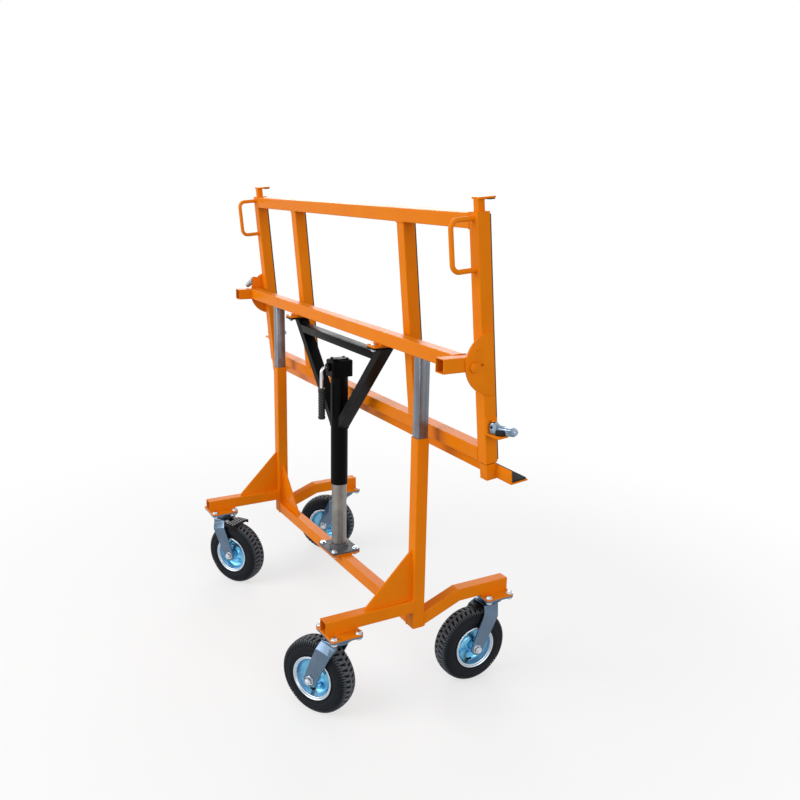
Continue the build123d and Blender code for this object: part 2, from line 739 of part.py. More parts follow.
# Crank: shaft and gear in the head, then a bend down to the grip
crank_end_y = jack_y - CRANK_OUT
gear_back_y = jack_y - GEAR_PITCH_R
gear_plane = dict(x_dir=(0, 0, -1), z_dir=(0, -1, 0))
with BuildPart() as crank_rod:
    with BuildLine(Plane.YZ) as crank_path:
        FilletPolyline(
            (gear_back_y, crank_z),
            (crank_end_y, crank_z),
            (crank_end_y, crank_z - CRANK_DROP),
            radius=CRANK_BEND,
        )
    with BuildSketch(Plane(origin=(0, gear_back_y, crank_z), **gear_plane)):
        Circle(CRANK_R)
    sweep(path=crank_path.wires()[0])
    with BuildSketch(Plane(origin=(0, gear_back_y, crank_z), **gear_plane)):
        gear_outline(1, 0)
    with BuildSketch(Plane(origin=(0, jack_y - GEAR_PITCH_R * small_end, crank_z), **gear_plane)):
        gear_outline(small_end, 0)
    loft(ruled=True)
    with BuildSketch(Plane(origin=(0, gear_back_y, crank_z), **gear_plane)):
        Circle(GEAR_HUB_R)
    extrude(amount=GEAR_HUB)
write(crank_rod.part, "crank_rod")

grip_low = crank_z - CRANK_DROP - PLATE
grip_high = grip_low + GRIP_LENGTH
with BuildPart() as crank_grip:
    with BuildSketch(Plane(origin=(0, crank_end_y, 0), x_dir=(0, 1, 0), z_dir=(1, 0, 0))):
        with BuildLine():
            Polyline(
                (0, grip_low),
                (GRIP_R, grip_low),
                (GRIP_R, grip_low + GRIP_LENGTH / 4),
                (GRIP_WAIST_R, grip_low + GRIP_LENGTH / 2),
                (GRIP_R, grip_high),
                (CRANK_R + NUT_PRESS_GAP, grip_high),
                (CRANK_R + NUT_PRESS_GAP, grip_low + PLATE),
                (0, grip_low + PLATE),
                close=True,
            )
        make_face()
    revolve(axis=Axis((0, crank_end_y, 0), (0, 0, 1)))
write(crank_grip.part, "crank_grip")

# Tilting rack: two posts, two rails and two uprights
rack_height = RACK_TOP - RACK_BOTTOM
with BuildPart() as rack_posts:
    with BuildSketch(
        *[in_rack((side * RACK_X, rack_mid, RACK_BOTTOM), (1, 0, 0), (0, 0, 1)) for side in SIDES]
    ):
        tube_section(TUBE, RACK_WALL)
    extrude(amount=rack_height)
write(rack_posts.part, "rack_posts")

for node, rail_mid in (("top_rail", RACK_TOP - TUBE / 2), ("bottom_rail", RACK_BOTTOM + TUBE / 2)):
    with BuildPart() as rail:
        with BuildSketch(in_rack((-rack_inner_x, rack_mid, rail_mid), (0, 1, 0), (1, 0, 0))):
            tube_section(TUBE, TUBE_WALL)
        extrude(amount=2 * rack_inner_x)
    write(rail.part, node)

with BuildPart() as uprights:
    with BuildSketch(
        *[in_rack((side * UPRIGHT_X, rack_mid, RACK_BOTTOM + TUBE), (1, 0, 0), (0, 0, 1)) for side in SIDES]
    ):
        tube_section(TUBE, TUBE_WALL)
    extrude(amount=rack_height - 2 * TUBE)
write(uprights.part, "uprights")

# Rubber strips on the back of the posts and uprights
with BuildPart() as rubber_strips:
    with BuildSketch(
        *[
            in_rack((side * x, rack_rear + STRIP / 2, RACK_BOTTOM + STRIP_END_GAP), (1, 0, 0), (0, 0, 1))
            for side in SIDES
            for x in (RACK_X, UPRIGHT_X)
        ]
    ):
        Rectangle(STRIP_WIDTH, STRIP)
    extrude(amount=rack_height - 2 * STRIP_END_GAP)
write(rubber_strips.part, "rubber_strips")

# Handles: a bent rod welded to the front of each post
handle_top = RACK_TOP - HANDLE_BELOW_TOP
handle_low = handle_top - HANDLE_SPAN
with BuildPart() as handles:
    for side in SIDES:
        with BuildLine(in_rack((side * RACK_X, 0, 0), (0, 1, 0), (1, 0, 0))) as handle_path:
            FilletPolyline(
                (RACK_FRONT, handle_top),
                (RACK_FRONT - HANDLE_DEPTH, handle_top),
                (RACK_FRONT - HANDLE_DEPTH, handle_low),
                (RACK_FRONT, handle_low),
                radius=HANDLE_BEND,
            )
        with BuildSketch(in_rack((side * RACK_X, RACK_FRONT, handle_top), (1, 0, 0), (0, -1, 0))):
            Circle(HANDLE_R)
        sweep(path=handle_path.wires()[0])
write(handles.part, "handles")

# Half-round pivot plates on the outside of the posts; the left one has an ear for the tilt lock
with BuildPart() as pivot_plates:
    for side in SIDES:
        with BuildSketch(in_rack((side * rack_outer_x, 0, 0), (0, 1, 0), (1, 0, 0))):
            with Locations((PIVOT_PLATE_BACK, PIVOT_PLATE_UP)):
                Circle(PIVOT_PLATE_R)
            with Locations((rack_rear - PIVOT_PLATE_INSET + PIVOT_PLATE_R, PIVOT_PLATE_UP)):
                Rectangle(2 * PIVOT_PLATE_R, 2 * PIVOT_PLATE_R, mode=Mode.SUBTRACT)
            if side < 0:
                with Locations((TILT_PIN_BACK, TILT_PIN_UP)):
                    Circle(TILT_EAR_R)
            Circle(PIVOT_BOLT_R + RUNNING_FIT, mode=Mode.SUBTRACT)
            with Locations((INDEX_HOLE_BACK, INDEX_HOLE_UP)):
                Circle(INDEX_HOLE_R, mode=Mode.SUBTRACT)
        extrude(amount=side * PLATE)
    with BuildSketch(in_rack((-plate_outer_x, TILT_PIN_BACK, TILT_PIN_UP), (0, 1, 0), (-1, 0, 0))):
        Circle(TILT_PIN_R)
    extrude(amount=TILT_LEVER + 2 * LEVER_PLAY)
write(pivot_plates.part, "pivot_plates")

# Caps in the tops of the posts that guide the hook bars
with BuildPart() as post_caps:
    for side in SIDES:
        with BuildSketch(in_rack((side * RACK_X, rack_mid, RACK_TOP), (1, 0, 0), (0, 0, 1))):
            RectangleRounded(TUBE, TUBE, TUBE_CORNER)
        extrude(amount=CAP)
        with BuildSketch(in_rack((side * RACK_X, rack_mid, RACK_TOP - COLLAR_DEPTH), (1, 0, 0), (0, 0, 1))):
            Rectangle(rack_bore - 2 * COLLAR_GAP, rack_bore - 2 * COLLAR_GAP)
        extrude(amount=COLLAR_DEPTH)
        with BuildSketch(in_rack((side * RACK_X, rack_mid, RACK_TOP - COLLAR_DEPTH), (1, 0, 0), (0, 0, 1))):
            Rectangle(HOOK_BAR + 2 * HOOK_GAP, HOOK_BAR + 2 * HOOK_GAP)
        extrude(amount=COLLAR_DEPTH + CAP, mode=Mode.SUBTRACT)
write(post_caps.part, "post_caps")

# Hooks: a bar that slides in each post, a guide shoe at its foot and a plate over the stone's edge
for node, side in (("left_hook", -1), ("right_hook", 1)):
    with BuildPart() as hook:
        with BuildSketch(in_rack((side * RACK_X, rack_mid, RACK_TOP - HOOK_IN_POST), (1, 0, 0), (0, 0, 1))):
            Rectangle(HOOK_BAR, HOOK_BAR)
            Rectangle(HOOK_BAR - 2 * HOOK_WALL, HOOK_BAR - 2 * HOOK_WALL, mode=Mode.SUBTRACT)
        extrude(amount=HOOK_IN_POST + HOOK_ABOVE_POST)
        with BuildSketch(in_rack((side * RACK_X, rack_mid, RACK_TOP - HOOK_IN_POST), (1, 0, 0), (0, 0, 1))):
            Rectangle(shelf_tube, shelf_tube)
            Rectangle(HOOK_BAR - 2 * HOOK_WALL, HOOK_BAR - 2 * HOOK_WALL, mode=Mode.SUBTRACT)
        extrude(amount=HOOK_SHOE)
        with BuildSketch(
            in_rack(
                (side * RACK_X, rack_mid + (HOOK_REACH - HOOK_BAR / 2) / 2, RACK_TOP + HOOK_ABOVE_POST),
                (1, 0, 0),
                (0, 0, 1),
            )
        ):
            RectangleRounded(HOOK_PLATE_WIDTH, HOOK_REACH + HOOK_BAR / 2, HOOK_PLATE / 2)
        extrude(amount=HOOK_PLATE)
    write(hook.part, node)

# Shelf: two tubes that slide in the feet of the posts and an angle that carries the stone
with BuildPart() as shelf_tubes:
    with BuildSketch(
        *[in_rack((side * RACK_X, rack_mid, shelf_low), (1, 0, 0), (0, 0, 1)) for side in SIDES]
    ):
        tube_section(shelf_tube, RACK_WALL)
    extrude(amount=SHELF_BELOW_POST + SHELF_IN_POST)
write(shelf_tubes.part, "shelf_tubes")

with BuildPart() as shelf_angle:
    with BuildSketch(in_rack((-SHELF_HALF, shelf_leg_front, shelf_low), (0, 1, 0), (1, 0, 0))):
        with BuildLine():
            Polyline(
                (0, 0),
                (SHELF_LEDGE, 0),
                (SHELF_LEDGE, SHELF_STEEL),
                (SHELF_STEEL, SHELF_STEEL),
                (SHELF_STEEL, SHELF_LEG),
                (0, SHELF_LEG),
                close=True,
            )
        make_face()
    extrude(amount=2 * SHELF_HALF)
write(shelf_angle.part, "shelf_angle")

shelf_rubber_width = SHELF_LEDGE - SHELF_STEEL - 2 * SHELF_RUBBER_INSET
with BuildPart() as shelf_rubber:
    with BuildSketch(
        in_rack(
            (
                0,
                shelf_leg_front + SHELF_STEEL + SHELF_RUBBER_INSET + shelf_rubber_width / 2,
                shelf_low + SHELF_STEEL,
            ),
            (1, 0, 0),
            (0, 0, 1),
        )
    ):
        Rectangle(2 * (SHELF_HALF - SHELF_RUBBER_INSET), shelf_rubber_width)
    extrude(amount=SHELF_RUBBER)
write(shelf_rubber.part, "shelf_rubber")

# Cam lock brackets: an angle on the outside of each post with the lever's headed pin on its flange
with BuildPart() as lock_brackets:
    for side in SIDES:
        with BuildSketch(
            in_rack(
                (side * rack_outer_x, lock_mid_t, LOCK_BOTTOM - LOCK_STEEL / 2), (1, 0, 0), (0, 0, 1)
            )
        ):
            with Locations((side * LOCK_STEEL / 2, 0)):
                Rectangle(LOCK_STEEL, LOCK_BACK)
        extrude(amount=LOCK_TOP - LOCK_BOTTOM + LOCK_STEEL)
        with BuildSketch(
            in_rack(
                (side * rack_outer_x, lock_mid_t, LOCK_BOTTOM - LOCK_STEEL / 2), (1, 0, 0), (0, 0, 1)
            )
        ):
            with BuildLine():
                Polyline(
                    (0, -LOCK_BACK / 2),
                    (side * LOCK_STEEL, -LOCK_BACK / 2),
                    (side * LOCK_REACH, LOCK_BACK / 2 - LOCK_NOSE),
                    (side * LOCK_REACH, LOCK_BACK / 2),
                    (0, LOCK_BACK / 2),
                    close=True,
                )
            make_face()
        extrude(amount=LOCK_STEEL)
        with BuildSketch(in_rack((side * lock_pin_x, lock_mid_t, LOCK_BOTTOM), (1, 0, 0), (0, 0, 1))):
            Circle(LOCK_PIN_R)
        extrude(amount=LOCK_TOP - LOCK_BOTTOM - LOCK_STEEL / 2)
        with BuildSketch(
            in_rack(
                (side * lock_pin_x, lock_mid_t, LOCK_TOP - LOCK_STEEL / 2), (1, 0, 0), (0, 0, 1)
            )
        ):
            Circle(LOCK_HEAD_R)
        extrude(amount=LOCK_HEAD)
write(lock_brackets.part, "lock_brackets")

# Cam levers: the right one stands open, the left one is folded back along the post
lever_low = LOCK_BOTTOM + LOCK_STEEL / 2 + LEVER_PLAY
for node, side, swing in (
    ("left_lock_lever", -1, LEFT_LEVER_SWING),
    ("right_lock_lever", 1, RIGHT_LEVER_SWING),
):
    lever_x = side * math.cos(math.radians(swing)) * LEVER_LENGTH
    lever_t = math.sin(math.radians(swing)) * LEVER_LENGTH
    with BuildPart() as lever:
        with BuildSketch(in_rack((side * lock_pin_x, lock_mid_t, lever_low), (1, 0, 0), (0, 0, 1))):
            Circle(LEVER_HUB_R)
        extrude(amount=lever_height)
        with BuildSketch(
            in_rack(
                (side * lock_pin_x, lock_mid_t, lever_low + (lever_height - LEVER_ARM) / 2),
                (1, 0, 0),
                (0, 0, 1),
            )
        ):
            Circle(LEVER_HUB_R)
            with Locations((lever_x, lever_t)):
                Circle(LEVER_END_R)
            make_hull()
        extrude(amount=LEVER_ARM)
        with BuildSketch(in_rack((side * lock_pin_x, lock_mid_t, lever_low), (1, 0, 0), (0, 0, 1))):
            Circle(LOCK_PIN_R + RUNNING_FIT)
        extrude(amount=lever_height, mode=Mode.SUBTRACT)
    write(lever.part, node)

# Tilt lock lever on its stud, on the outside of the left pivot plate
tilt_tip = (
    TILT_LEVER_LENGTH * math.cos(math.radians(TILT_LEVER_ANGLE)),
    TILT_LEVER_LENGTH * math.sin(math.radians(TILT_LEVER_ANGLE)),
)
with BuildPart() as tilt_lock_lever:
    with BuildSketch(
        in_rack(
            (-plate_outer_x - LEVER_PLAY - TILT_LEVER, TILT_PIN_BACK, TILT_PIN_UP), (0, 1, 0), (1, 0, 0)
        )
    ):
        Circle(TILT_EAR_R)
        with Locations(tilt_tip):
            Circle(TILT_LEVER_END_R)
        make_hull()
        Circle(TILT_PIN_R + RUNNING_FIT, mode=Mode.SUBTRACT)
    extrude(amount=TILT_LEVER)
write(tilt_lock_lever.part, "tilt_lock_lever")


def build_pedal(place, along, half):
    """Stamped brake pedal: a hub on the fork's pin, a shoe bend over the tyre and a sloping tread."""
    slope = math.radians(PEDAL_SLOPE)
    shoe = (PEDAL_PIN_OUT + PEDAL_SHOE_OUT, 2 * WHEEL_R + PEDAL_CLEARANCE + PEDAL_STEEL / 2)
    tip = (shoe[0] + PEDAL_TREAD * math.cos(slope), shoe[1] + PEDAL_TREAD * math.sin(slope))
    lip = (tip[0] + PEDAL_LIP * math.sin(slope), tip[1] - PEDAL_LIP * math.cos(slope))
    with BuildPart() as pedal:
        with BuildSketch(along):
            with BuildLine():
                Polyline((PEDAL_PIN_OUT, pedal_pin_z + PEDAL_RISE), shoe, tip, lip)
            trace(line_width=PEDAL_STEEL)
            for ridge in range(PEDAL_RIDGES):
                out = PEDAL_TREAD - PEDAL_RIDGE - ridge * PEDAL_RIDGE_PITCH
                with Locations(
                    Location(
                        (
                            shoe[0] + out * math.cos(slope) - PEDAL_STEEL / 2 * math.sin(slope),
                            shoe[1] + out * math.sin(slope) + PEDAL_STEEL / 2 * math.cos(slope),
                        ),
                        PEDAL_SLOPE,
                    )
                ):
                    Rectangle(2 * PEDAL_RIDGE, 2 * PEDAL_RIDGE)
            with Locations((PEDAL_PIN_OUT, pedal_pin_z)):
                Circle(PEDAL_HUB_R)
                Circle(PEDAL_PIN_R + RUNNING_FIT, mode=Mode.SUBTRACT)
        extrude(amount=half, both=True)
    write(pedal.part, f"pedal_{place}")


def build_caster(place, king_x, king_y, heading):
    """Fork, pedal if braked, rim and tyre of one caster, trailing towards its heading in degrees."""
    king = Location((king_x, king_y, 0), (0, 0, heading))
    across = in_frame(king, (0, 0, 0), (0, 1, 0), (1, 0, 0))
    along = in_frame(king, (0, 0, 0), (1, 0, 0), (0, -1, 0))
    leg_mid = leg_inner + FORK_STEEL / 2
    neck_mid = (FORK_NECK_WIDTH - FORK_STEEL) / 2
    shoulder_top = yoke_top - FORK_NECK_DEPTH
    neck_length = FORK_NECK_BACK + FORK_NECK_FRONT

    with BuildPart() as fork:
        with BuildSketch(across):
            with BuildLine():
                Polyline(
                    (-leg_mid, 0),
                    (-leg_mid, shoulder_top - FORK_SHOULDER_DROP),
                    (-neck_mid, shoulder_top),
                    (-neck_mid, yoke_top - FORK_STEEL / 2),
                    (neck_mid, yoke_top - FORK_STEEL / 2),
                    (neck_mid, shoulder_top),
                    (leg_mid, shoulder_top - FORK_SHOULDER_DROP),
                    (leg_mid, 0),
                )
            trace(line_width=FORK_STEEL)
        extrude(amount=2 * WHEEL_R, both=True)
        with BuildSketch(along.offset(-leg_outer)):
            with Locations(((FORK_NECK_FRONT - FORK_NECK_BACK) / 2, yoke_top - FORK_NECK_DEPTH / 2)):
                Rectangle(neck_length, FORK_NECK_DEPTH)
            with Locations((FORK_TRAIL, WHEEL_R)):
                Circle(LEG_END_R)
            make_hull()
        extrude(amount=2 * leg_outer, mode=Mode.INTERSECT)
        with BuildSketch(in_frame(king, (0, 0, yoke_low), (1, 0, 0), (0, 0, 1))):
            Circle(LOWER_RACE_R)
        extrude(amount=FORK_STEEL + LOWER_RACE)
        with BuildSketch(in_frame(king, (0, 0, yoke_low), (1, 0, 0), (0, 0, 1))):
            Circle(KINGPIN_R + RUNNING_FIT)
        extrude(amount=FORK_STEEL + LOWER_RACE, mode=Mode.SUBTRACT)
        with BuildSketch(along):
            with Locations((FORK_TRAIL, WHEEL_R)):
                Circle(AXLE_R)
        extrude(amount=leg_outer, both=True)
        with BuildSketch(along.offset(leg_outer), along.offset(-leg_outer - AXLE_HEAD)):
            with Locations((FORK_TRAIL, WHEEL_R)):
                RegularPolygon(AXLE_HEAD_R, 6, major_radius=False)
        extrude(amount=AXLE_HEAD)
        if place in BRAKED:
            with BuildSketch(along):
                with Locations((PEDAL_PIN_OUT, pedal_pin_z)):
                    Circle(PEDAL_PIN_R)
            extrude(amount=neck_mid, both=True)
    write(fork.part, f"fork_{place}")

    if place in BRAKED:
        build_pedal(place, along, neck_mid - FORK_STEEL / 2 - END_GAP)

    axle_plane = in_frame(king, (FORK_TRAIL, 0, WHEEL_R), (0, 1, 0), (1, 0, 0))
    axle = Axis(axle_plane.origin, axle_plane.x_dir)
    hub_half = leg_inner - END_GAP
    with BuildPart() as rim:
        with BuildSketch(axle_plane):
            with BuildLine():
                Polyline(
                    (-hub_half, AXLE_R + RUNNING_FIT),
                    (hub_half, AXLE_R + RUNNING_FIT),
                    (hub_half, HUB_R),
                    (RIM_DISC / 2, HUB_R),
                    (RIM_DISC / 2, RIM_WELL_R),
                    (RIM_FLANGE_WIDTH / 2 + RIM_STEEL, RIM_FLANGE_R),
                    (RIM_FLANGE_WIDTH / 2, RIM_FLANGE_R),
                    (RIM_SEAT_WIDTH / 2, RIM_SEAT_R),
                    (-RIM_SEAT_WIDTH / 2, RIM_SEAT_R),
                    (-RIM_FLANGE_WIDTH / 2, RIM_FLANGE_R),
                    (-RIM_FLANGE_WIDTH / 2 - RIM_STEEL, RIM_FLANGE_R),
                    (-RIM_DISC / 2, RIM_WELL_R),
                    (-RIM_DISC / 2, HUB_R),
                    (-hub_half, HUB_R),
                    close=True,
                )
            make_face()
        revolve(axis=axle)
    write(rim.part, f"rim_{place}")

    bead_half = RIM_SEAT_WIDTH / 2 - BEAD_GAP
    flange_half = RIM_FLANGE_WIDTH / 2 - BEAD_GAP
    with BuildPart() as tyre:
        with BuildSketch(axle_plane):
            with BuildLine():
                Polyline(
                    (-bead_half, RIM_SEAT_R + BEAD_GAP),
                    (bead_half, RIM_SEAT_R + BEAD_GAP),
                    (flange_half, RIM_FLANGE_R),
                    (TYRE_WIDTH / 2, TYRE_BULGE_R),
                    (TREAD_WIDTH / 2, WHEEL_R),
                    (-TREAD_WIDTH / 2, WHEEL_R),
                    (-TYRE_WIDTH / 2, TYRE_BULGE_R),
                    (-flange_half, RIM_FLANGE_R),
                    close=True,
                )
            make_face()
        revolve(axis=axle)
    write(tyre.part, f"tyre_{place}")


for place, king_x, king_y, heading in KINGPINS:
    build_caster(place, king_x, king_y, heading)
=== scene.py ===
# %% [markdown]
# # A countertop installation cart, dressed in Blender
# The cart carries a heavy flat load on edge, lifts it with a crank jack and tips it level.
# Its tubes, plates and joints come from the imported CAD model, which stays where it is.
# This lesson adds what a CAD solid leaves out: tread on the tyres, pressed rims, bent forks,
# eased edges, weld beads, washers and bolt heads, and a procedural finish for every surface.

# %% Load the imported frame
import json
import math
import bmesh
import bpy
from mathutils import Matrix, Vector


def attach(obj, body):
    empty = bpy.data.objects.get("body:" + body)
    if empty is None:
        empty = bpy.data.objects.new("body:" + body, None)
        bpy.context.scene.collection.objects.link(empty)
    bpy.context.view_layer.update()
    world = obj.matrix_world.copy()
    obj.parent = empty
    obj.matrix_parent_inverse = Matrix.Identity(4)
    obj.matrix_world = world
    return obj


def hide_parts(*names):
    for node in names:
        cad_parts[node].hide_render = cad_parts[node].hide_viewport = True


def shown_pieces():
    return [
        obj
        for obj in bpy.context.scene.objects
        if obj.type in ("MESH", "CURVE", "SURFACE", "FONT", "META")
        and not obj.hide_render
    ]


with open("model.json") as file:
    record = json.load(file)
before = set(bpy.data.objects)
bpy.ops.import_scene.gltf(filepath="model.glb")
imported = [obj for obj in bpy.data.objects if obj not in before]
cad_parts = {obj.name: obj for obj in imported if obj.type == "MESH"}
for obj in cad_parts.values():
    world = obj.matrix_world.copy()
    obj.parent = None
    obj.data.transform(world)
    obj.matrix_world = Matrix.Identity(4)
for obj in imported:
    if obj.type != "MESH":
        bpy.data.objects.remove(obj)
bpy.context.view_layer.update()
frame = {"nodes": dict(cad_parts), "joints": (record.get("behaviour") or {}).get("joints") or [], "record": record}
MM = 0.001  # sizes are written in millimetres, and Blender works in metres
nodes = frame["nodes"]
joints = {joint["name"]: joint for joint in frame["joints"]}

# %% [markdown]
# ## Places that the pieces share
# Four casters stand at four headings, and the rack leans. World coordinates would be hard to
# read, so each gets a matrix from the joints of the model: a wheel is modelled upright at the
# origin, its axle along Y, and one matrix puts it where the CAD says.

# %% Matrices for the casters and the leaning rack
PLACES = ("front_left", "front_right", "rear_left", "rear_right")
UP = Vector((0, 0, 1))
ACROSS = Vector((1, 0, 0))


def axes(side, depth, height, origin):
    """A matrix from three directions and an origin."""
    turned = Matrix((side, depth, height)).transposed().to_4x4()
    return Matrix.Translation(origin) @ turned


wheel_at = {}
king_at = {}
for place in PLACES:
    centre = Vector(joints[f"roll_{place}"]["pos_m"])
    axle = Vector(joints[f"roll_{place}"]["axis"]).normalized()
    king = Vector(joints[f"swivel_{place}"]["pos_m"])
    trail = axle.cross(UP)
    wheel_at[place] = axes(trail, axle, UP, centre)
    king_at[place] = axes(trail, axle, UP, (king.x, king.y, 0))
rack_up = -Vector(joints["shelf_slide"]["axis"]).normalized()
rack_at = axes(ACROSS, rack_up.cross(ACROSS), rack_up, joints["rack_tilt"]["pos_m"])
print("rack leans", round(math.degrees(rack_up.angle(UP)), 2), "degrees")

# %% [markdown]
# ## Tyres
# The cart stands on small pneumatic tyres. One could be sculpted from a torus, but the casing
# is a body of rotation, so its section is turned round the axle. The tread is moulded: a crown
# that runs right round, slanted blocks on both sides of it, set half a step apart, and fine
# ribs on the shoulders. One of each is modelled at the top of the tyre and repeated, which
# keeps them alike.

# %% Turn the casing
TYRE_R = 114.5
TYRE_STEPS = 96
CROWN_R = 92.0  # the crown's curve from side to side
CROWN_HALF = 3.0
CROWN_SUNK = 0.3  # how far the crown lies under the blocks
CASING_TOP = (0.0, 108.1)
CASING_HALF = [
    (13.8, 54.3), (29.3, 66.0), (31.4, 68.6), (31.9, 70.4), (31.5, 72.2), (32.7, 76.0),
    (33.3, 80.2), (33.9, 81.0), (33.9, 82.6), (33.5, 83.4), (33.8, 88.0), (33.2, 93.0),
    (31.2, 97.6), (27.2, 102.0), (22.0, 105.4), (14.0, 107.2), (7.0, 107.9),
]


def both_sides(half, middle=()):
    """A line of points, what lies in the middle, and its mirror image."""
    return half + list(middle) + [(-out, up) for out, up in reversed(half)]


def lathe(profile, steps):
    """A closed profile of (along, radius) points in mm, turned about the Y axis."""
    bm = bmesh.new()
    verts = [bm.verts.new((0, along * MM, radius * MM)) for along, radius in profile]
    edges = [bm.edges.new(pair) for pair in zip(verts, verts[1:] + verts[:1])]
    bmesh.ops.spin(
        bm, geom=verts + edges, cent=(0, 0, 0), axis=(0, 1, 0), angle=2 * math.pi, steps=steps,
        use_merge=True,
    )
    bmesh.ops.remove_doubles(bm, verts=bm.verts, dist=1e-6)
    bmesh.ops.recalc_face_normals(bm, faces=bm.faces)
    return bm


def add_from(bm, other, place=Matrix()):
    """Copy one bmesh into another, moved by a matrix."""
    mesh = bpy.data.meshes.new("copy")
    other.to_mesh(mesh)
    mesh.transform(place)
    bm.from_mesh(mesh)
    bpy.data.meshes.remove(mesh)


crown_edge = TYRE_R - CROWN_HALF**2 / (2 * CROWN_R) - CROWN_SUNK
crown_half = [(CROWN_HALF + 0.8, 106.0), (CROWN_HALF, crown_edge)]
casing = lathe(both_sides(CASING_HALF, [CASING_TOP]), TYRE_STEPS)
add_from(casing, lathe(both_sides(crown_half, [(0.0, TYRE_R - CROWN_SUNK)]), TYRE_STEPS))
print("casing faces", len(casing.faces))

# %% One shoulder rib on each side
SIDES = (-1, 1)
CRISP = math.radians(34)  # edges that turn more than this are sharp
RIB = [
    (-3.0, 22.4, 111.6), (3.0, 22.4, 111.6), (2.9, 28.5, 106.6), (2.5, 33.4, 97.5),
    (-2.5, 33.4, 97.5), (-2.9, 28.5, 106.6),
]
RIB_ROOT = (5.0, 6.0)  # how far a rib is sunk in the casing, along the axle and towards it


def push(bm, depth):
    """Give a flat mesh a depth in mm, and return the points that moved."""
    pushed = bmesh.ops.extrude_face_region(bm, geom=bm.faces[:])["geom"]
    moved = [item for item in pushed if isinstance(item, bmesh.types.BMVert)]
    bmesh.ops.translate(bm, verts=moved, vec=Vector(depth) * MM)
    bmesh.ops.recalc_face_normals(bm, faces=bm.faces)
    return moved


def slab(outline, depth):
    """A flat outline of (x, y, z) points in mm, given a depth."""
    bm = bmesh.new()
    bm.faces.new([bm.verts.new(Vector(point) * MM) for point in outline])
    push(bm, depth)
    return bm


def bevel(bm, edges, width, segments, clamp=False):
    """Round off edges by a width in mm."""
    bmesh.ops.bevel(
        bm, geom=edges, offset=width * MM, affect="EDGES", segments=segments, profile=0.5,
        material=-1, clamp_overlap=clamp,
    )


def ease(bm, width, segments=2):
    """Round off the sharp edges of a mesh by a width in mm, and return it."""
    solid = [edge for edge in bm.edges if edge.is_manifold]
    sharp = [edge for edge in solid if edge.calc_face_angle(0.0) > CRISP]
    bevel(bm, sharp, width, segments, clamp=True)
    return bm


ribs = bmesh.new()
for side in SIDES:
    outline = [(about, side * along, radius) for about, along, radius in RIB]
    rib = slab(outline, (0, -side * RIB_ROOT[0], -RIB_ROOT[1]))
    add_from(ribs, ease(rib, 0.5, 1))
print("two ribs", len(ribs.faces), "faces")

# %% One tread block on each side
BLOCKS = 42
GROOVE = 7.5
BLOCK = [
    (-3.0, 20.2), (7.2, 20.2), (5.0, 14.0), (2.6, 8.0), (1.8, 0.0), (-6.4, 0.0), (-6.0, 8.0),
    (-4.8, 14.0),
]
tread = bmesh.new()
for side, shift in ((1, 0.0), (-1, math.pi / BLOCKS)):
    block = slab([(about, side * along, 0) for about, along in BLOCK], (0, 0, 1))
    upper = [vert for vert in block.verts if vert.co.z > 0.5 * MM]
    brim = [edge for edge in block.edges if all(vert in upper for vert in edge.verts)]
    for vert in block.verts:
        crown = TYRE_R - (vert.co.y / MM) ** 2 / (2 * CROWN_R)
        radius = crown if vert in upper else crown - GROOVE
        vert.co.z = math.sqrt(radius**2 - (vert.co.x / MM) ** 2) * MM
    bevel(block, brim, 0.7, 1)
    add_from(tread, block, Matrix.Rotation(shift, 4, "Y"))
print("two blocks", len(tread.faces), "faces")

# %% Repeat the tread round the axle
RIBS = 84
# Painted highlight as well as dust: the tread is coloured grey from the first radius out.
DUST_AND_SHEEN = (108.5, 111.5)  # dust turns the rubber grey from here out, where it meets the ground


def all_of(bm):
    """All that an operator can work on."""
    return bm.verts[:] + bm.edges[:] + bm.faces[:]


def ring(bm, count):
    """Repeat a bmesh evenly round the Y axis."""
    bmesh.ops.spin(
        bm, geom=all_of(bm), cent=(0, 0, 0), axis=(0, 1, 0), use_duplicate=True,
        angle=2 * math.pi * (count - 1) / count, steps=count - 1,
    )


def mark_by_radius(bm, mark, start, end):
    """An attribute that goes from 0 to 1 between two radii in mm."""
    layer = bm.verts.layers.float.new(mark)
    for vert in bm.verts:
        from_axle = math.hypot(vert.co.x, vert.co.z) / MM
        vert[layer] = min(1.0, max(0.0, (from_axle - start) / (end - start)))


for lumps, count in ((tread, BLOCKS), (ribs, RIBS)):
    ring(lumps, count)
    add_from(casing, lumps)
mark_by_radius(casing, "dust_and_sheen", *DUST_AND_SHEEN)
print("tyre faces", len(casing.faces))

# %% [markdown]
# ## Keeping a finished mesh
# A bmesh is a mesh in the making. `keep` turns a finished one into an object at the origin,
# with its place in its mesh, and says which body carries it, which finish it has and which
# CAD solid it stands for. One function for all keeps them alike: shading is smooth, and sharp
# edges stay crisp.

# %% Four tyres
finish_of = {}


def placed(bm, place):
    """A copy of a bmesh, moved by a matrix."""
    moved = bm.copy()
    bmesh.ops.transform(moved, matrix=place, verts=moved.verts)
    return moved


def put(name, data):
    """An object in the scene, at the origin."""
    made = bpy.data.objects.new(name, data)
    bpy.context.scene.collection.objects.link(made)
    return made


def keep(bm, name, body, slot, stands_for=(), finish=None):
    """Make the object, ride it on its body and name its slot and the nodes it replaces."""
    bmesh.ops.remove_doubles(bm, verts=bm.verts, dist=1e-6)
    for face in bm.faces:
        face.smooth = True
    for edge in bm.edges:
        edge.smooth = edge.calc_face_angle(0.0) < CRISP
    mesh = bpy.data.meshes.new(name)
    bm.to_mesh(mesh)
    bm.free()
    piece = put(name, mesh)
    finish_of[name] = finish or slot
    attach(piece, body)
    if stands_for:
        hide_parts(*stands_for)
    return piece


for place in PLACES:
    tyre = placed(casing, wheel_at[place])
    keep(tyre, f"pneumatic_tyre_{place}", f"wheel_{place}", "tyre_rubber", [f"tyre_{place}"])

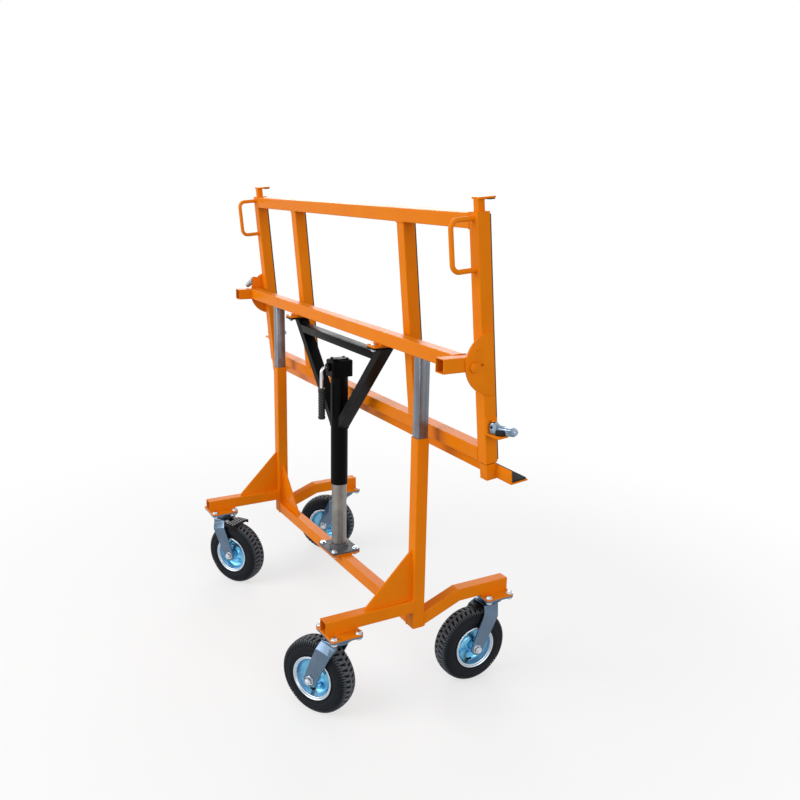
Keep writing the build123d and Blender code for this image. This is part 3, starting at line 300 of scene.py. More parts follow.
# %% [markdown]
# ## Bolts and nuts
# All the fasteners are plated hexagons on washers. A thread would be too fine to see, so
# none is cut. A washer is turned on the lathe, and the hexagon is a six-sided disc pushed up
# and bevelled where the die left its chamfer. A nut also shows the end of its bolt. They
# stand along Y until placed, and one function serves every size.

# %% One fastener in any size
CHAMFER = 0.07  # of the width across the flats
HANG = Matrix.Rotation(-math.pi / 2, 4, "X")  # turns Z to Y, and the lathe's axle from Y to -Z


def fastener(flats, height, washer_r, end=0.0, end_r=0.0):
    """A washer, a hexagon and, on a nut, the end of its bolt, along Y."""
    lump = bmesh.new()
    corner_r = flats / math.sqrt(3)
    bmesh.ops.create_circle(lump, cap_ends=True, radius=corner_r * MM, segments=6)
    top = push(lump, (0, 0, height))
    crown = [edge for edge in lump.edges if all(vert in top for vert in edge.verts)]
    bevel(lump, crown, CHAMFER * flats, 2)
    bmesh.ops.transform(lump, matrix=HANG, verts=lump.verts)
    washer = [(0, 0.5), (0, washer_r), (1.4, washer_r), (1.9, washer_r - 0.6), (1.9, 0.5)]
    add_from(lump, lathe(washer, 24))
    if end:
        tip = height + end
        bolt = [(0, 0.4), (0, end_r), (tip - 1, end_r), (tip, end_r - 1), (tip, 0.4)]
        add_from(lump, lathe(bolt, 16))
    return lump


rim_bolt = fastener(flats=11.0, height=7.0, washer_r=7.5, end=3.0, end_r=3.2)
print("rim bolt faces", len(rim_bolt.faces))

# %% [markdown]
# ## Rims
# Each rim is pressed from two zinc-plated steel halves bolted back to back. A press leaves a
# body of rotation, so a lathe profile gives the rolled lip, the step inside it and the curved
# dish. The bolts and the valve break the symmetry and show that the wheel turns. An attribute
# on the mesh says how deep in the dish a point lies, and the dish is painted a darker blue
# there, as painted shade in the hollow.

# %% One half with its bolts
PRESSED = [
    (30.4, 63.0), (31.4, 65.4), (33.0, 66.9), (34.8, 66.2), (35.4, 64.4), (34.4, 62.6),
    (32.4, 61.6), (31.2, 60.8), (31.4, 59.4), (30.8, 58.2), (28.4, 57.4), (23.0, 56.4),
    (17.0, 54.4), (12.6, 51.4), (9.8, 47.6), (8.2, 43.0), (7.6, 38.0), (7.9, 33.0),
    (9.2, 28.4), (11.8, 25.0), (15.2, 22.6), (17.4, 20.4), (18.0, 17.0), (3.0, 17.0),
    (3.0, 52.6), (14.0, 54.0),
]
RIM_BOLTS = 4
RIM_BOLT_TURN = 0.5
RIM_BOLT_AT = (7.6, 37.0)  # on the floor of the dish


def spot(x, y, z):
    """A matrix that moves by millimetres."""
    return Matrix.Translation(Vector((x, y, z)) * MM)


half_rim = lathe(PRESSED, 80)
for count in range(RIM_BOLTS):
    turn = Matrix.Rotation(count * 2 * math.pi / RIM_BOLTS + RIM_BOLT_TURN, 4, "Y")
    add_from(half_rim, rim_bolt, turn @ spot(0, *RIM_BOLT_AT))
print("half rim faces", len(half_rim.faces))

# %% Both halves, the hub and the valve
HUB_HALF = [(40, 10.2), (40, 14.0), (38.6, 15.4), (24, 15.8), (16, 18.0)]
STEM = [(0, 0.5), (0, 4.4), (3, 3.8), (12, 2.8), (12.2, 3.4), (17, 3.4), (18, 2.6), (18, 0.5)]
# Painted shade: inside these radii the rim is painted a darker blue, as shade in the dish.
DISH_SHADE = (58.0, 52.0)  # inside the first radius the plating turns blue
wheel = bmesh.new()
add_from(wheel, half_rim)
add_from(wheel, half_rim, Matrix.Rotation(math.pi, 4, "Z"))
add_from(wheel, lathe(both_sides(HUB_HALF), 40))
mark_by_radius(wheel, "dish_shade", *DISH_SHADE)
stem = lathe(STEM, 16)
print("rim faces", len(wheel.faces), "valve faces", len(stem.faces))

# %% Four rims
STEM_TURN = 2.9  # round the axle
STEM_TILT = -0.7  # out of the dish
stem_at = (
    Matrix.Rotation(STEM_TURN, 4, "Y")
    @ spot(0, 12.0, 50.0)
    @ Matrix.Rotation(STEM_TILT, 4, "X")
)
for place in PLACES:
    body = f"wheel_{place}"
    rim = placed(wheel, wheel_at[place])
    keep(rim, f"pressed_rim_{place}", body, "zinc", [f"rim_{place}"], "zinc_blue_dish_shade")
    valve = placed(stem, wheel_at[place] @ stem_at)
    keep(valve, f"valve_stem_{place}", body, "black_rubber")

# %% [markdown]
# ## Forks
# A caster's fork is stamped from flat steel and bent into a yoke. A box cut to shape would
# have no bends, so it is made the way the press makes it: a strip follows the bent path, is
# swept along the cart, trimmed to the outline of the blank by a ring of cutting planes, and
# given its thickness. The lower bend runs square to the raked leg, so the strip is sheared
# there. The bends get real radii, which is where the plating catches the light.

# %% The bent path
LEG_OUT = 45.5
LEG_FOOT = 50.0
LEG_TOP = 209.0
YOKE_OUT = 31.0
NECK_Z = 230.0
YOKE_TOP = 246.0
BEND_RADIUS = 6.5


def rounded(points, radius, steps):
    """A line of flat points with its corners turned by arcs."""
    turned = [Vector(points[0])]
    for before, corner, after in zip(points, points[1:], points[2:]):
        corner = Vector(corner)
        back = (Vector(before) - corner).normalized()
        ahead = (Vector(after) - corner).normalized()
        half_angle = back.angle(ahead) / 2
        centre = corner + (back + ahead).normalized() * radius / math.sin(half_angle)
        start = corner + back * radius / math.tan(half_angle) - centre
        end = corner + ahead * radius / math.tan(half_angle) - centre
        spokes = [start.lerp(end, step / steps).normalized() for step in range(steps + 1)]
        turned += [centre + spoke * radius for spoke in spokes]
    return turned + [Vector(points[-1])]


bends = [(-LEG_OUT, LEG_FOOT), (-LEG_OUT, LEG_TOP), (-YOKE_OUT, NECK_Z), (-YOKE_OUT, YOKE_TOP)]
bent_path = rounded(both_sides(bends), BEND_RADIUS, 5)
print("bent path", len(bent_path), "points")

# %% Sweep the path along the cart and shear its lower bends
STRIP_START = -14.0
SWEEPS = 9
SWEEP_STEP = 12.0
BEND_RISE = 0.3
RISE_ENDS = 40.0
fork = bmesh.new()
rows = []
for sweep in range(SWEEPS + 1):
    x = STRIP_START + sweep * SWEEP_STEP
    rows.append([fork.verts.new(Vector((x, out, up)) * MM) for out, up in bent_path])
for row, ahead in zip(rows, rows[1:]):
    for corners in zip(row, row[1:], ahead[1:], ahead):
        fork.faces.new(corners)
for vert in fork.verts:
    below_top = (YOKE_TOP - vert.co.z / MM) / (YOKE_TOP - NECK_Z)
    vert.co.z += min(vert.co.x, RISE_ENDS * MM) * BEND_RISE * min(1.0, below_top)
print("strip faces", len(fork.faces))

# %% Trim the strip to the blank and thicken it
FORK_STEEL = 5.0
TRAIL = 71.5
AXLE_Z = TYRE_R
LEG_R = 20.0  # the round end of the leg about the axle
NECK = [(-9.0, 226.0), (-9.0, YOKE_TOP), (39.0, YOKE_TOP), (39.0, 226.0)]
CUTS = 120
DOUBLED = 0.02  # points this close are one: a cut through a corner leaves two
for cut in range(CUTS):
    turn = 2 * math.pi * cut / CUTS
    normal = Vector((math.cos(turn), 0, math.sin(turn)))
    to_leg = normal.x * TRAIL + normal.z * AXLE_Z + LEG_R
    to_neck = max(normal.x * along + normal.z * up for along, up in NECK)
    bmesh.ops.bisect_plane(
        fork, geom=all_of(fork), plane_co=normal * max(to_leg, to_neck) * MM, plane_no=normal,
        clear_outer=True,
    )
bmesh.ops.remove_doubles(fork, verts=fork.verts, dist=DOUBLED * MM)
bmesh.ops.recalc_face_normals(fork, faces=fork.faces)
crown_face = max(fork.faces, key=lambda face: face.calc_center_median().z)
if crown_face.normal.z < 0:
    bmesh.ops.reverse_faces(fork, faces=fork.faces)
bmesh.ops.solidify(fork, geom=fork.faces[:], thickness=FORK_STEEL * MM)
bmesh.ops.recalc_face_normals(fork, faces=fork.faces)
ease(fork, 0.6)
print("fork spans", round(max(vert.co.y for vert in fork.verts) / MM, 1), "mm each way")

# %% Swivel race, axle nuts, and the four forks
STAND = Matrix.Rotation(math.pi / 2, 4, "X")  # turns the lathe's axle from Y to +Z
RACE = [
    (241, 10.2), (241, 28), (246.5, 28), (248.5, 36), (250, 38), (253, 38), (254, 36.6),
    (255, 38), (257, 38), (258, 37), (258, 10.2),
]
add_from(fork, lathe(RACE, 48), STAND)
axle_nut = fastener(flats=20.0, height=10.0, washer_r=13.5, end=5.0, end_r=6.4)
axle_ends = bmesh.new()
for turn in (0.0, math.pi):
    to_side = Matrix.Rotation(turn, 4, "Z") @ spot(0, LEG_OUT, 0)
    add_from(axle_ends, axle_nut, spot(TRAIL, 0, AXLE_Z) @ to_side)
for place in PLACES:
    body = f"caster_{place}"
    bent = placed(fork, king_at[place])
    keep(bent, f"bent_fork_{place}", body, "zinc", [f"fork_{place}"], "zinc_fork")
    nuts = placed(axle_ends, king_at[place])
    keep(nuts, f"axle_nuts_{place}", body, "zinc", finish="zinc_bright")
print("fork faces", len(fork.faces))

# %% [markdown]
# ## Brake pedals
# Two of the casters have a brake: a stamped pedal on a pin between the fork's cheeks. In
# front its wide tread lies close over the tyre, with ridges and a row of teeth for the shoe,
# knuckles at its root, and flaps and a lip turned down at its edges. At the rear it is a
# short heel. One bent sheet would be hard to fold in code, so a side view with a width makes
# each plate, and a lathe makes the hub and the teeth.

# %% Neck, tread and ridges
PEDAL_PIN = (30.0, 233.0)  # distance from the kingpin, and height
NECK_SIDE = [(30, 237.2), (52, 236.4), (52, 232.4), (30, 233.2)]
TREAD_SIDE = [  # distances from the tip
    (-48, 236.5), (-4, 237.2), (-1.6, 236.8), (2.6, 232.8), (0.2, 231.8), (-3.8, 233.2),
    (-48, 232.5),
]
RIDGE_SIDE = [(-2.4, -1.0), (2.4, -1.0), (1.6, 1.6), (-1.6, 1.6)]  # from the top of the tread
RIDGE_INSET = 5.0
PEDAL_FORMS = {
    "front_left": {"tip": 95.0, "half": 42.0, "ridges": (58, 70), "teeth": 84.0},
    "rear_right": {"tip": 62.0, "half": 23.0, "ridges": (42, 50), "teeth": None},
}


def across_pedal(bm, side_view, wide, soft, middle=0.0):
    """Add a side view in mm with a width and rounded edges."""
    outline = [(out, middle - wide / 2, up) for out, up in side_view]
    add_from(bm, ease(slab(outline, (0, wide, 0)), soft))


def tread_top(out, tip):
    """Height of the pedal's tread at a distance from the kingpin."""
    (root, low), (lip, high) = TREAD_SIDE[:2]
    return low + (out - tip - root) * (high - low) / (lip - root)


pedals = {}
for place, form in PEDAL_FORMS.items():
    pedal = pedals[place] = bmesh.new()
    tip, wide = form["tip"], 2 * form["half"]
    across_pedal(pedal, NECK_SIDE, 44, 0.8)
    tread_side = [(max(PEDAL_PIN[0], tip + out), up) for out, up in TREAD_SIDE]
    across_pedal(pedal, tread_side, wide, 0.9)
    for out in form["ridges"]:
        top = tread_top(out, tip)
        ridge_side = [(out + along, top + up) for along, up in RIDGE_SIDE]
        across_pedal(pedal, ridge_side, wide - 2 * RIDGE_INSET, 0.3)
    print(place, "tread is", wide, "mm wide")

# %% Hub, teeth, flaps and knuckles
SLEEVE_HALF = [(25, 3.3), (25, 6.2), (24.2, 7)]
TOOTH = [(-1, 0.4), (-1, 3.4), (1.2, 3.0), (2.2, 2.0), (2.4, 0.4)]
TEETH = 7
TOOTH_STEP = 11.5
FLAP_SIDE = [(50, 235.5), (95, 236.2), (96, 225), (90, 224), (50, 231)]
KNUCKLE_SIDE = [(40.5, 232), (53, 232), (53, 240), (48, 243.5), (40.5, 243.5)]
KNUCKLE_OUT = 21.0
sleeve = lathe(both_sides(SLEEVE_HALF), 24)
tooth = lathe(TOOTH, 12)
for place, form in PEDAL_FORMS.items():
    pedal = pedals[place]
    add_from(pedal, sleeve, spot(PEDAL_PIN[0], 0, PEDAL_PIN[1]))
    if form["teeth"]:
        top = tread_top(form["teeth"], form["tip"])
        for count in range(TEETH):
            along = (count - (TEETH - 1) / 2) * TOOTH_STEP
            add_from(pedal, tooth, spot(form["teeth"], along, top) @ STAND)
        for side in SIDES:
            across_pedal(pedal, FLAP_SIDE, 3, 0.6, side * form["half"])
            across_pedal(pedal, KNUCKLE_SIDE, 12, 1.2, side * KNUCKLE_OUT)
    print(place, "pedal faces", len(pedal.faces))

# %% Mark what the shoe rubs and where glints are painted, and keep both pedals
RUB_AND_GLINT_OUT = 40.0
RUB_AND_GLINT_UP = 1.0
for place, form in PEDAL_FORMS.items():
    pedal = pedals[place]
    # Painted highlight as well as wear: the ridges and teeth are coloured pale grey, for paint that the shoe rubs
    # off and for the glints of light along them.
    rubbed_and_glint = pedal.verts.layers.float.new("rubbed_and_glint")
    for vert in pedal.verts:
        out, up = vert.co.x / MM, vert.co.z / MM
        proud = out > RUB_AND_GLINT_OUT and up > tread_top(out, form["tip"]) + RUB_AND_GLINT_UP
        vert[rubbed_and_glint] = 1.0 if form["teeth"] and proud else 0.0
    print(place, "rubbed points", round(sum(vert[rubbed_and_glint] for vert in pedal.verts)))
    stamped = placed(pedal, king_at[place])
    keep(stamped, f"stamped_pedal_{place}", f"brake_{place}", "black_paint",
         [f"pedal_{place}"], "rubbed_paint_and_glint")

# %% [markdown]
# ## Bolts on the plates
# Four bolts hold each caster, four hold the jack, and one hangs the bracket from each tab.
# Their places could be typed one by one, but they follow from the kingpins and the plates,
# and `extent` reads their levels from the model.

# %% Caster and jack bolts
PLATE_STEEL = 5.0
JACK_Y = 20.0
CASTER_BOLTS = [(x, y) for x in (-46, 46) for y in (-38, 38)]
JACK_BOLTS = [(x, JACK_Y + y) for x in (-46, 46) for y in (-39, 39)]


def extent(node, place=Matrix()):
    """Lowest and highest corners of a CAD node in mm, along the axes of a matrix."""
    flat = place.inverted()
    points = [flat @ vert.co / MM for vert in nodes[node].data.vertices]
    corners = [[pick(point[axis] for point in points) for axis in range(3)] for pick in (min, max)]
    return [Vector(corner) for corner in corners]


m10_head = fastener(flats=16.0, height=7.0, washer_r=11.0)
m10_nut = fastener(flats=16.0, height=7.0, washer_r=11.0, end=2.5, end_r=4.8)
mount_low, mount_high = extent("caster_mount_plates")
pad_low, pad_high = extent("jack_pad_plate")
jack_foot_top = pad_high.z + pad_high.z - pad_low.z  # its foot is as thick as the pad
bolts = bmesh.new()
for place in PLACES:
    king = king_at[place].translation / MM
    for x, y in CASTER_BOLTS:
        under = mount_low.z - PLATE_STEEL
        add_from(bolts, m10_head, spot(king.x + x, king.y + y, mount_high.z) @ STAND)
        add_from(bolts, m10_nut, spot(king.x + x, king.y + y, under) @ HANG)
for x, y in JACK_BOLTS:
    add_from(bolts, m10_head, spot(x, y, jack_foot_top) @ STAND)
    add_from(bolts, m10_nut, spot(x, y, pad_low.z) @ HANG)
keep(bolts, "plated_base_bolts", "base", "zinc", ["base_bolts"], "zinc_bright")
print("base bolts", len(PLACES) * len(CASTER_BOLTS) + len(JACK_BOLTS))

# %% Bracket bolts
TAB_BOLT = (306.5, -20.0)
M8_HEIGHT = 6.0
m8_head = fastener(flats=13.0, height=M8_HEIGHT, washer_r=9.0)
m8_nut = fastener(flats=13.0, height=M8_HEIGHT, washer_r=9.0, end=2.0, end_r=3.8)
tab_low, tab_high = extent("bracket_bolts")
hung = bmesh.new()
for side in SIDES:
    x, y = side * TAB_BOLT[0], TAB_BOLT[1]
    add_from(hung, m8_head, spot(x, y, tab_high.z - M8_HEIGHT) @ STAND)
    add_from(hung, m8_nut, spot(x, y, tab_low.z + M8_HEIGHT) @ HANG)
keep(hung, "plated_bracket_bolts", "lift", "zinc", ["bracket_bolts"], "zinc_bright")
print("bracket bolts", len(SIDES), "of", round(tab_high.z - tab_low.z), "mm")

# %% [markdown]
# ## Eased edges
# Sheared and drawn steel never has the knife edge of a CAD solid: a narrow rounded edge
# catches the light. A bevel modifier would trip over the loose triangles of a CAD mesh. So a
# copy of a node's mesh is merged, its flat triangles are joined into whole faces, and its
# sharp edges are bevelled. The copy then stands for the node.

# %% Ease the edges of plates, caps, pads and masts
EASED = {  # width of the rounded edge in mm
    "caster_mount_plates": 0.8, "pivot_plates": 0.9, "lock_brackets": 0.6, "left_hook": 0.9,
    "right_hook": 0.9, "tilt_lock_lever": 1.6, "gussets": 0.8, "bracket_tabs": 0.7,
    "jack_foot_plate": 0.9, "jack_pad_plate": 0.8, "caster_top_plates": 0.7, "pivot_bolts": 0.9,
    "post_caps": 1.0, "rubber_strips": 1.2, "shelf_rubber": 1.2, "shelf_angle": 0.9,
    "bracket_bar": 1.6, "masts": 2.8,
}
own_finish = {"caster_top_plates": "zinc_fork", "jack_inner_tube": "oiled_steel"}
node_slot = {part["node"]: part["material_slot"] for part in frame["record"]["subparts"]}
bodies = frame["record"]["behaviour"]["bodies"]
node_body = {member: body for body, members in bodies.items() for member in members}


def eased_copy(node, width):
    """A copy of a CAD node's mesh with whole faces and rounded edges."""
    bm = bmesh.new()
    bm.from_mesh(nodes[node].data)
    bmesh.ops.remove_doubles(bm, verts=bm.verts, dist=2e-6)
    bmesh.ops.dissolve_limit(
        bm, angle_limit=math.radians(0.8), verts=bm.verts, edges=bm.edges,
        use_dissolve_boundaries=False,
    )
    return ease(bm, width)


for node, width in EASED.items():
    bm = eased_copy(node, width)
    finish = own_finish.get(node)
    made = keep(bm, f"{node}_eased", node_body[node], node_slot[node], [node], finish)
    print(node, "->", len(made.data.polygons), "faces")

# %% [markdown]
# ## Tubes that slide in the posts
# The shelf hangs on two tubes that run up inside the rack's posts. A thin dark line is painted
# on them just under the mouth of each post, as painted shade where the post's edge overhangs,
# and above it their paint is scuffed as far as they slide, which shows when the shelf is let
# down. A ring drawn in the finish would not know the lean of the rack, so the tubes are cut
# across at a few heights, and an attribute on the mesh says how dark they are at each: painted
# shade under the mouth, scuffing above it.

# %% Mark the painted shade at the mouth and the length that slides
# Painted shade: from 3.4 mm under the mouth of each post up to the mouth the tubes are fully darkened, like the
# shade under the post's edge. Inside the post the values say how scuffed.
SHADE_AND_SCUFF = [(-4.0, 0.0), (-3.4, 1.0), (1.0, 1.0), (9.0, 0.4)]  # mm over the mouth, how scuffed
mouth = extent("rack_posts", rack_at)[0].z
rack_flat = rack_at.inverted()
tubes = eased_copy("shelf_tubes", 0.8)
for above, amount in SHADE_AND_SCUFF:
    bmesh.ops.bisect_plane(
        tubes, geom=all_of(tubes), plane_no=rack_up,
        plane_co=rack_at @ Vector((0, 0, (mouth + above) * MM)),
    )
# The attribute holds painted shade just under the mouth, and scuffing inside the post.
shade_and_scuff = tubes.verts.layers.float.new("shade_and_scuff")
for vert in tubes.verts:
    over_mouth = (rack_flat @ vert.co).z / MM - mouth
    vert[shade_and_scuff] = min(SHADE_AND_SCUFF, key=lambda mark: abs(mark[0] - over_mouth))[1]
print("scuffed points", sum(vert[shade_and_scuff] > 0 for vert in tubes.verts), "of", len(tubes.verts))
slot = node_slot["shelf_tubes"]
keep(tubes, "shelf_tubes_eased", "shelf", slot, ["shelf_tubes"], "scuffed_paint_and_shade")

# %% [markdown]
# ## Cam levers
# A small cast lever on each rack post locks the sliding shelf. Its round-topped hub shows a
# cross hole as a thin black disc, painted shade for the dark inside of the hole, its thick arm
# thins to a rounded end, and a rubber bumper meets the bracket. A casting could be sculpted.
# Drawing its side view once, giving it a thickness and rounding it well over keeps both levers
# alike, and each is then turned to where its CAD solid points.

# %% One lever, its bumper and the painted shade of its cross hole
LEVER_SIDE = [
    (-10.2, 0), (-10.4, 19), (-8.6, 26.6), (-4.2, 31.4), (1.6, 33.0), (6.6, 30.6),
    (10.4, 25.6), (15.0, 22.0), (38.0, 20.6), (49.0, 21.4), (56.4, 19.6), (61.8, 14.6),
    (63.8, 8.6), (61.6, 2.8), (56.4, 0),
]
LEVER_WIDE = 20.0
CAST_ROUND = 4.5
BUMPER = [(9, -16.5, 0.2), (33, -16.5, 0.2), (33, -9, 0.2), (9, -9, 0.2)]
BUMPER_TALL = 13.5
# Painted shade: a thin black disc on the hub stands for the dark inside of the cross hole.
HOLE_SHADE = [(0, 0.4), (0, 3.6), (1.0, 3.6), (1.0, 0.4)]
HOLE_SHADE_AT = (-3.4, -10.2, 19.5)
outline = [(along, -LEVER_WIDE / 2, up) for along, up in LEVER_SIDE]
cast = slab(outline, (0, LEVER_WIDE, 0))
flanks = [edge for face in cast.faces if abs(face.normal.y) > 0.9 for edge in face.edges]
bevel(cast, flanks, CAST_ROUND, 4, clamp=True)
bumper_and_hole_shade = ease(slab(BUMPER, (0, 0, BUMPER_TALL)), 2.6, 3)
add_from(bumper_and_hole_shade, lathe(HOLE_SHADE, 20), spot(*HOLE_SHADE_AT) @ Matrix.Rotation(math.pi, 4, "X"))
print("lever faces", len(cast.faces), "bumper faces", len(bumper_and_hole_shade.faces))

# %% Turn both levers to their places
LEVER_PIVOT = (768.0, 48.5)
for side, name in zip(SIDES, ("left", "right")):
    node = f"{name}_lock_lever"
    points = [rack_flat @ vert.co for vert in nodes[node].data.vertices]
    low = min(point.z for point in points)
    pivot = Vector((side * LEVER_PIVOT[0] * MM, LEVER_PIVOT[1] * MM, low))
    tip = max(points, key=lambda point: (point - pivot).xy.length)
    arm = Vector((tip.x - pivot.x, tip.y - pivot.y, 0)).normalized()
    lever_at = rack_at @ axes(arm, UP.cross(arm), UP, pivot)
    lever = placed(cast, lever_at)
    keep(lever, f"cast_{name}_lever", f"lever_{name}", "zinc", [node], "cast_zinc_painted_light_and_shade")
    keep(placed(bumper_and_hole_shade, lever_at), f"{name}_lever_bumper_and_hole_shade", f"lever_{name}", "black_rubber")
    print(name, "lever points", round(math.degrees(math.atan2(arm.y, arm.x))), "degrees")

# %% [markdown]
# ## Crank grip, gear-head lid and small fittings
# The grip is moulded on the crank with ridges for the hand, so it is turned on the lathe.
# The jack's gear head is closed by a lid with four screws. Each pivot plate carries a small
# stop peg, and each hook has a rubber pad where it grips the load. These are too small for
# the CAD model, and a slab or a lathe profile makes each with a few points.

# %% Grip
GRIP_ROOT = [(0.0, 6.7), (0.0, 9.6), (1.2, 11.2), (3.5, 12.0), (9.0, 12.0)]
GRIP_RIDGE = [(0.0, 11.0), (1.2, 10.4), (3.2, 10.4), (4.4, 11.2), (6.6, 11.7)]
GRIP_END = [(10, 12.0), (3, 12.0), (0.8, 11.0), (0, 9.0), (0, 6.7)]  # back from the end
RIDGES = 9
RIDGES_FROM = 10.0
RIDGES_TO = 12.0  # back from the end
grip_low, grip_high = extent("crank_grip")
grip_mid = (grip_low + grip_high) / 2
grip_long = grip_high.z - grip_low.z
profile = list(GRIP_ROOT)
for ridge in range(RIDGES):
    start = RIDGES_FROM + ridge * (grip_long - RIDGES_FROM - RIDGES_TO) / RIDGES
    profile += [(start + along, radius) for along, radius in GRIP_RIDGE]
profile += [(grip_long - back, radius) for back, radius in GRIP_END]
grip = placed(lathe(profile, 36), spot(grip_mid.x, grip_mid.y, grip_low.z) @ STAND)
keep(grip, "ridged_grip", node_body["crank_grip"], "black_plastic", ["crank_grip"])
print("grip length", round(grip_long), "mm")

# %% Lid of the gear head
LID = [(-19, -28), (19, -28), (19, 28), (-19, 28)]
LID_THICK = 3.5
LID_CORNER = 7.0
LID_SCREWS = [(-13, -21), (13, -21), (-13, 21), (13, 21)]
head_top = extent("jack_head")[1].z
lid = slab([(x, JACK_Y + y, head_top) for x, y in LID], (0, 0, LID_THICK))
corners = [edge for edge in lid.edges if abs(edge.verts[0].co.z - edge.verts[1].co.z) > MM]
bevel(lid, corners, LID_CORNER, 4)
keep(ease(lid, 0.9), "gear_head_lid", "lift", "black_paint")
lid_screw = fastener(flats=8.0, height=3.2, washer_r=4.6)
screws = bmesh.new()
for x, y in LID_SCREWS:
    add_from(screws, lid_screw, spot(x, JACK_Y + y, head_top + LID_THICK) @ STAND)
print("lid screws", len(LID_SCREWS), "faces", len(screws.faces))
keep(screws, "lid_screws", "lift", "dark_steel")

# %% Stop pegs and hook pads
PEG = [(-1, 0.4), (-1, 4.6), (2.4, 4.6), (4.0, 3.4), (4.4, 0.4)]
PEG_AT = (758.0, 13.9, 45.0)  # on the outside of a pivot plate
RACK_X = 734.0
PAD = [(-15, -17), (15, -17), (15, -1), (-15, -1)]  # back from the edge of the hook
PAD_THICK = 3.0
peg = lathe(PEG, 20)
pegs = bmesh.new()
for side in SIDES:
    out, back, up = PEG_AT
    outwards = Matrix.Rotation(-side * math.pi / 2, 4, "Z")
    add_from(pegs, peg, rack_at @ spot(side * out, back, up) @ outwards)
keep(pegs, "stop_pegs", "rack", "orange_paint")
for side, name in zip(SIDES, ("left", "right")):
    end = extent(f"{name}_hook", rack_at)[1]
    under = end.z - PLATE_STEEL
    outline = [(side * RACK_X + x, end.y + y, under) for x, y in PAD]
    pad = ease(slab(outline, (0, 0, -PAD_THICK)), 0.8)
    keep(placed(pad, rack_at), f"{name}_hook_pad", f"hook_{name}", "black_rubber")
    print(name, "hook pad at", round(under), "mm")

# %% [markdown]
# ## Weld beads
# The frame is welded together, and a bead lies in each corner where tube meets tube or
# plate. A swept mesh would need many points for its ripples, so a bead is a curve with a
# thickness whose radius wanders from point to point, half sunk in the steel and painted with
# it. All beads of one body and finish are drawn as one curve, which is then made a mesh.

# %% Beads on the base
BASE = ("base", "orange_paint")
HALF_TUBE = 19.0
TUBE_Y = (JACK_Y - HALF_TUBE, JACK_Y + HALF_TUBE)
POST_X = 515.0
CROSS_Z = (225.9, 263.9)
FRONT_FOOT_Z = (277.4, 315.4)
REAR_FOOT_Z = (230.0, 270.6)
GUSSET_HALF = 2.5
GUSSET_LONG = 150.0
GUSSET_TALL = 152.0
MOUNT_RUNS = [(-276.0, -181.0), (243.0, 335.0)]
PAD_HALF = 60.0
LEANING = ("rack", "shelf")
runs = {}


def weld(group, points, closed=False):
    """Note a run of bead through points in mm, for a body and a finish."""
    place = rack_at if group[0] in LEANING else Matrix()
    moved = [place @ (Vector(point) * MM) for point in points]
    runs.setdefault(group, []).append((moved, closed))


def weld_round(group, axis, level, first, second):
    """A bead round a rectangle square to axis 0, 1 or 2, from its ranges along the others."""
    corners = [[first[i], second[j]] for i, j in ((0, 0), (1, 0), (1, 1), (0, 1))]
    for corner in corners:
        corner.insert(axis, level)
    weld(group, corners, True)


near, far = TUBE_Y
foot_top, cross_top = FRONT_FOOT_Z[1], CROSS_Z[1]
for side in SIDES:
    post = side * POST_X
    inner = side * (POST_X - HALF_TUBE)
    across_post = (post - HALF_TUBE, post + HALF_TUBE)
    weld_round(BASE, 1, near, across_post, FRONT_FOOT_Z)
    weld_round(BASE, 1, far, across_post, REAR_FOOT_Z)
    weld_round(BASE, 0, inner, TUBE_Y, CROSS_Z)
    on_foot = [(near - GUSSET_LONG, 0), (near, 0), (near, GUSSET_TALL)]
    on_cross = [(inner - side * GUSSET_LONG, 0), (inner, 0), (inner, GUSSET_TALL)]
    for off in (-GUSSET_HALF, GUSSET_HALF):
        weld(BASE, [(post + off, y, foot_top + up) for y, up in on_foot])
        weld(BASE, [(x, JACK_Y + off, cross_top + up) for x, up in on_cross])
    for edge in across_post:
        for run in MOUNT_RUNS:
            weld(BASE, [(edge, y, FRONT_FOOT_Z[0]) for y in run])
for y in TUBE_Y:
    weld(BASE, [(x, y, cross_top) for x in (-PAD_HALF, PAD_HALF)])
print("runs on the base", len(runs[BASE]))

# %% Beads on the lift
LIFT = ("lift", "orange_paint")
JACK = ("lift", "black_paint")
BEAM_END = 714.5
BEAM_Y = (-12.0, 26.0)
BEAM_Z = (1038.9, 1076.9)
MAST_HALF = 16.5
MAST_Y = (3.5, 26.0)
STRUT_OUT = 28.0
STRUT_Z = (702.5, 739.0)
for side in SIDES:
    across_mast = (side * POST_X - MAST_HALF, side * POST_X + MAST_HALF)
    weld_round(LIFT, 0, side * BEAM_END, BEAM_Y, BEAM_Z)
    weld_round(LIFT, 2, BEAM_Z[0], across_mast, MAST_Y)
    weld_round(JACK, 0, side * STRUT_OUT, TUBE_Y, STRUT_Z)
print("runs on the lift", len(runs[LIFT]), "and on the jack", len(runs[JACK]))

# %% Beads on the rack, the shelf and the jack's foot
RACK = ("rack", "orange_paint")
SHELF = ("shelf", "orange_paint")
FOOT = ("base", "jack_grey")
RACK_Y = (29.5, 67.5)
TOP_RAIL_Z = (334.5, 372.5)
LOW_RAIL_Z = (-264.0, -229.5)
UPRIGHT_X = 376.0
PLATE_RUNS = [(0.5, 58.5, (-81.0, 82.0)), (0.0, 29.5, (-76.0, 77.0))]  # out of the post, y, z
LOCK_OUT = 0.2
LOCK_Y = (32.0, 65.0)
LOCK_Z = (-186.5, -144.5)
HANDLE_R = 7.0
HANDLE_Y = 29.2
HANDLE_Z = (236.5, 360.5)
SHELF_HALF = 16.0
SHELF_Y = 64.5
SHELF_Z = (-312.0, -284.0)
COLLAR_R = 32.0
COLLAR_Z = 275.9


def circle(radius, count):
    """Points round a circle in mm."""
    turns = [2 * math.pi * step / count for step in range(count)]
    return [(radius * math.cos(turn), radius * math.sin(turn)) for turn in turns]


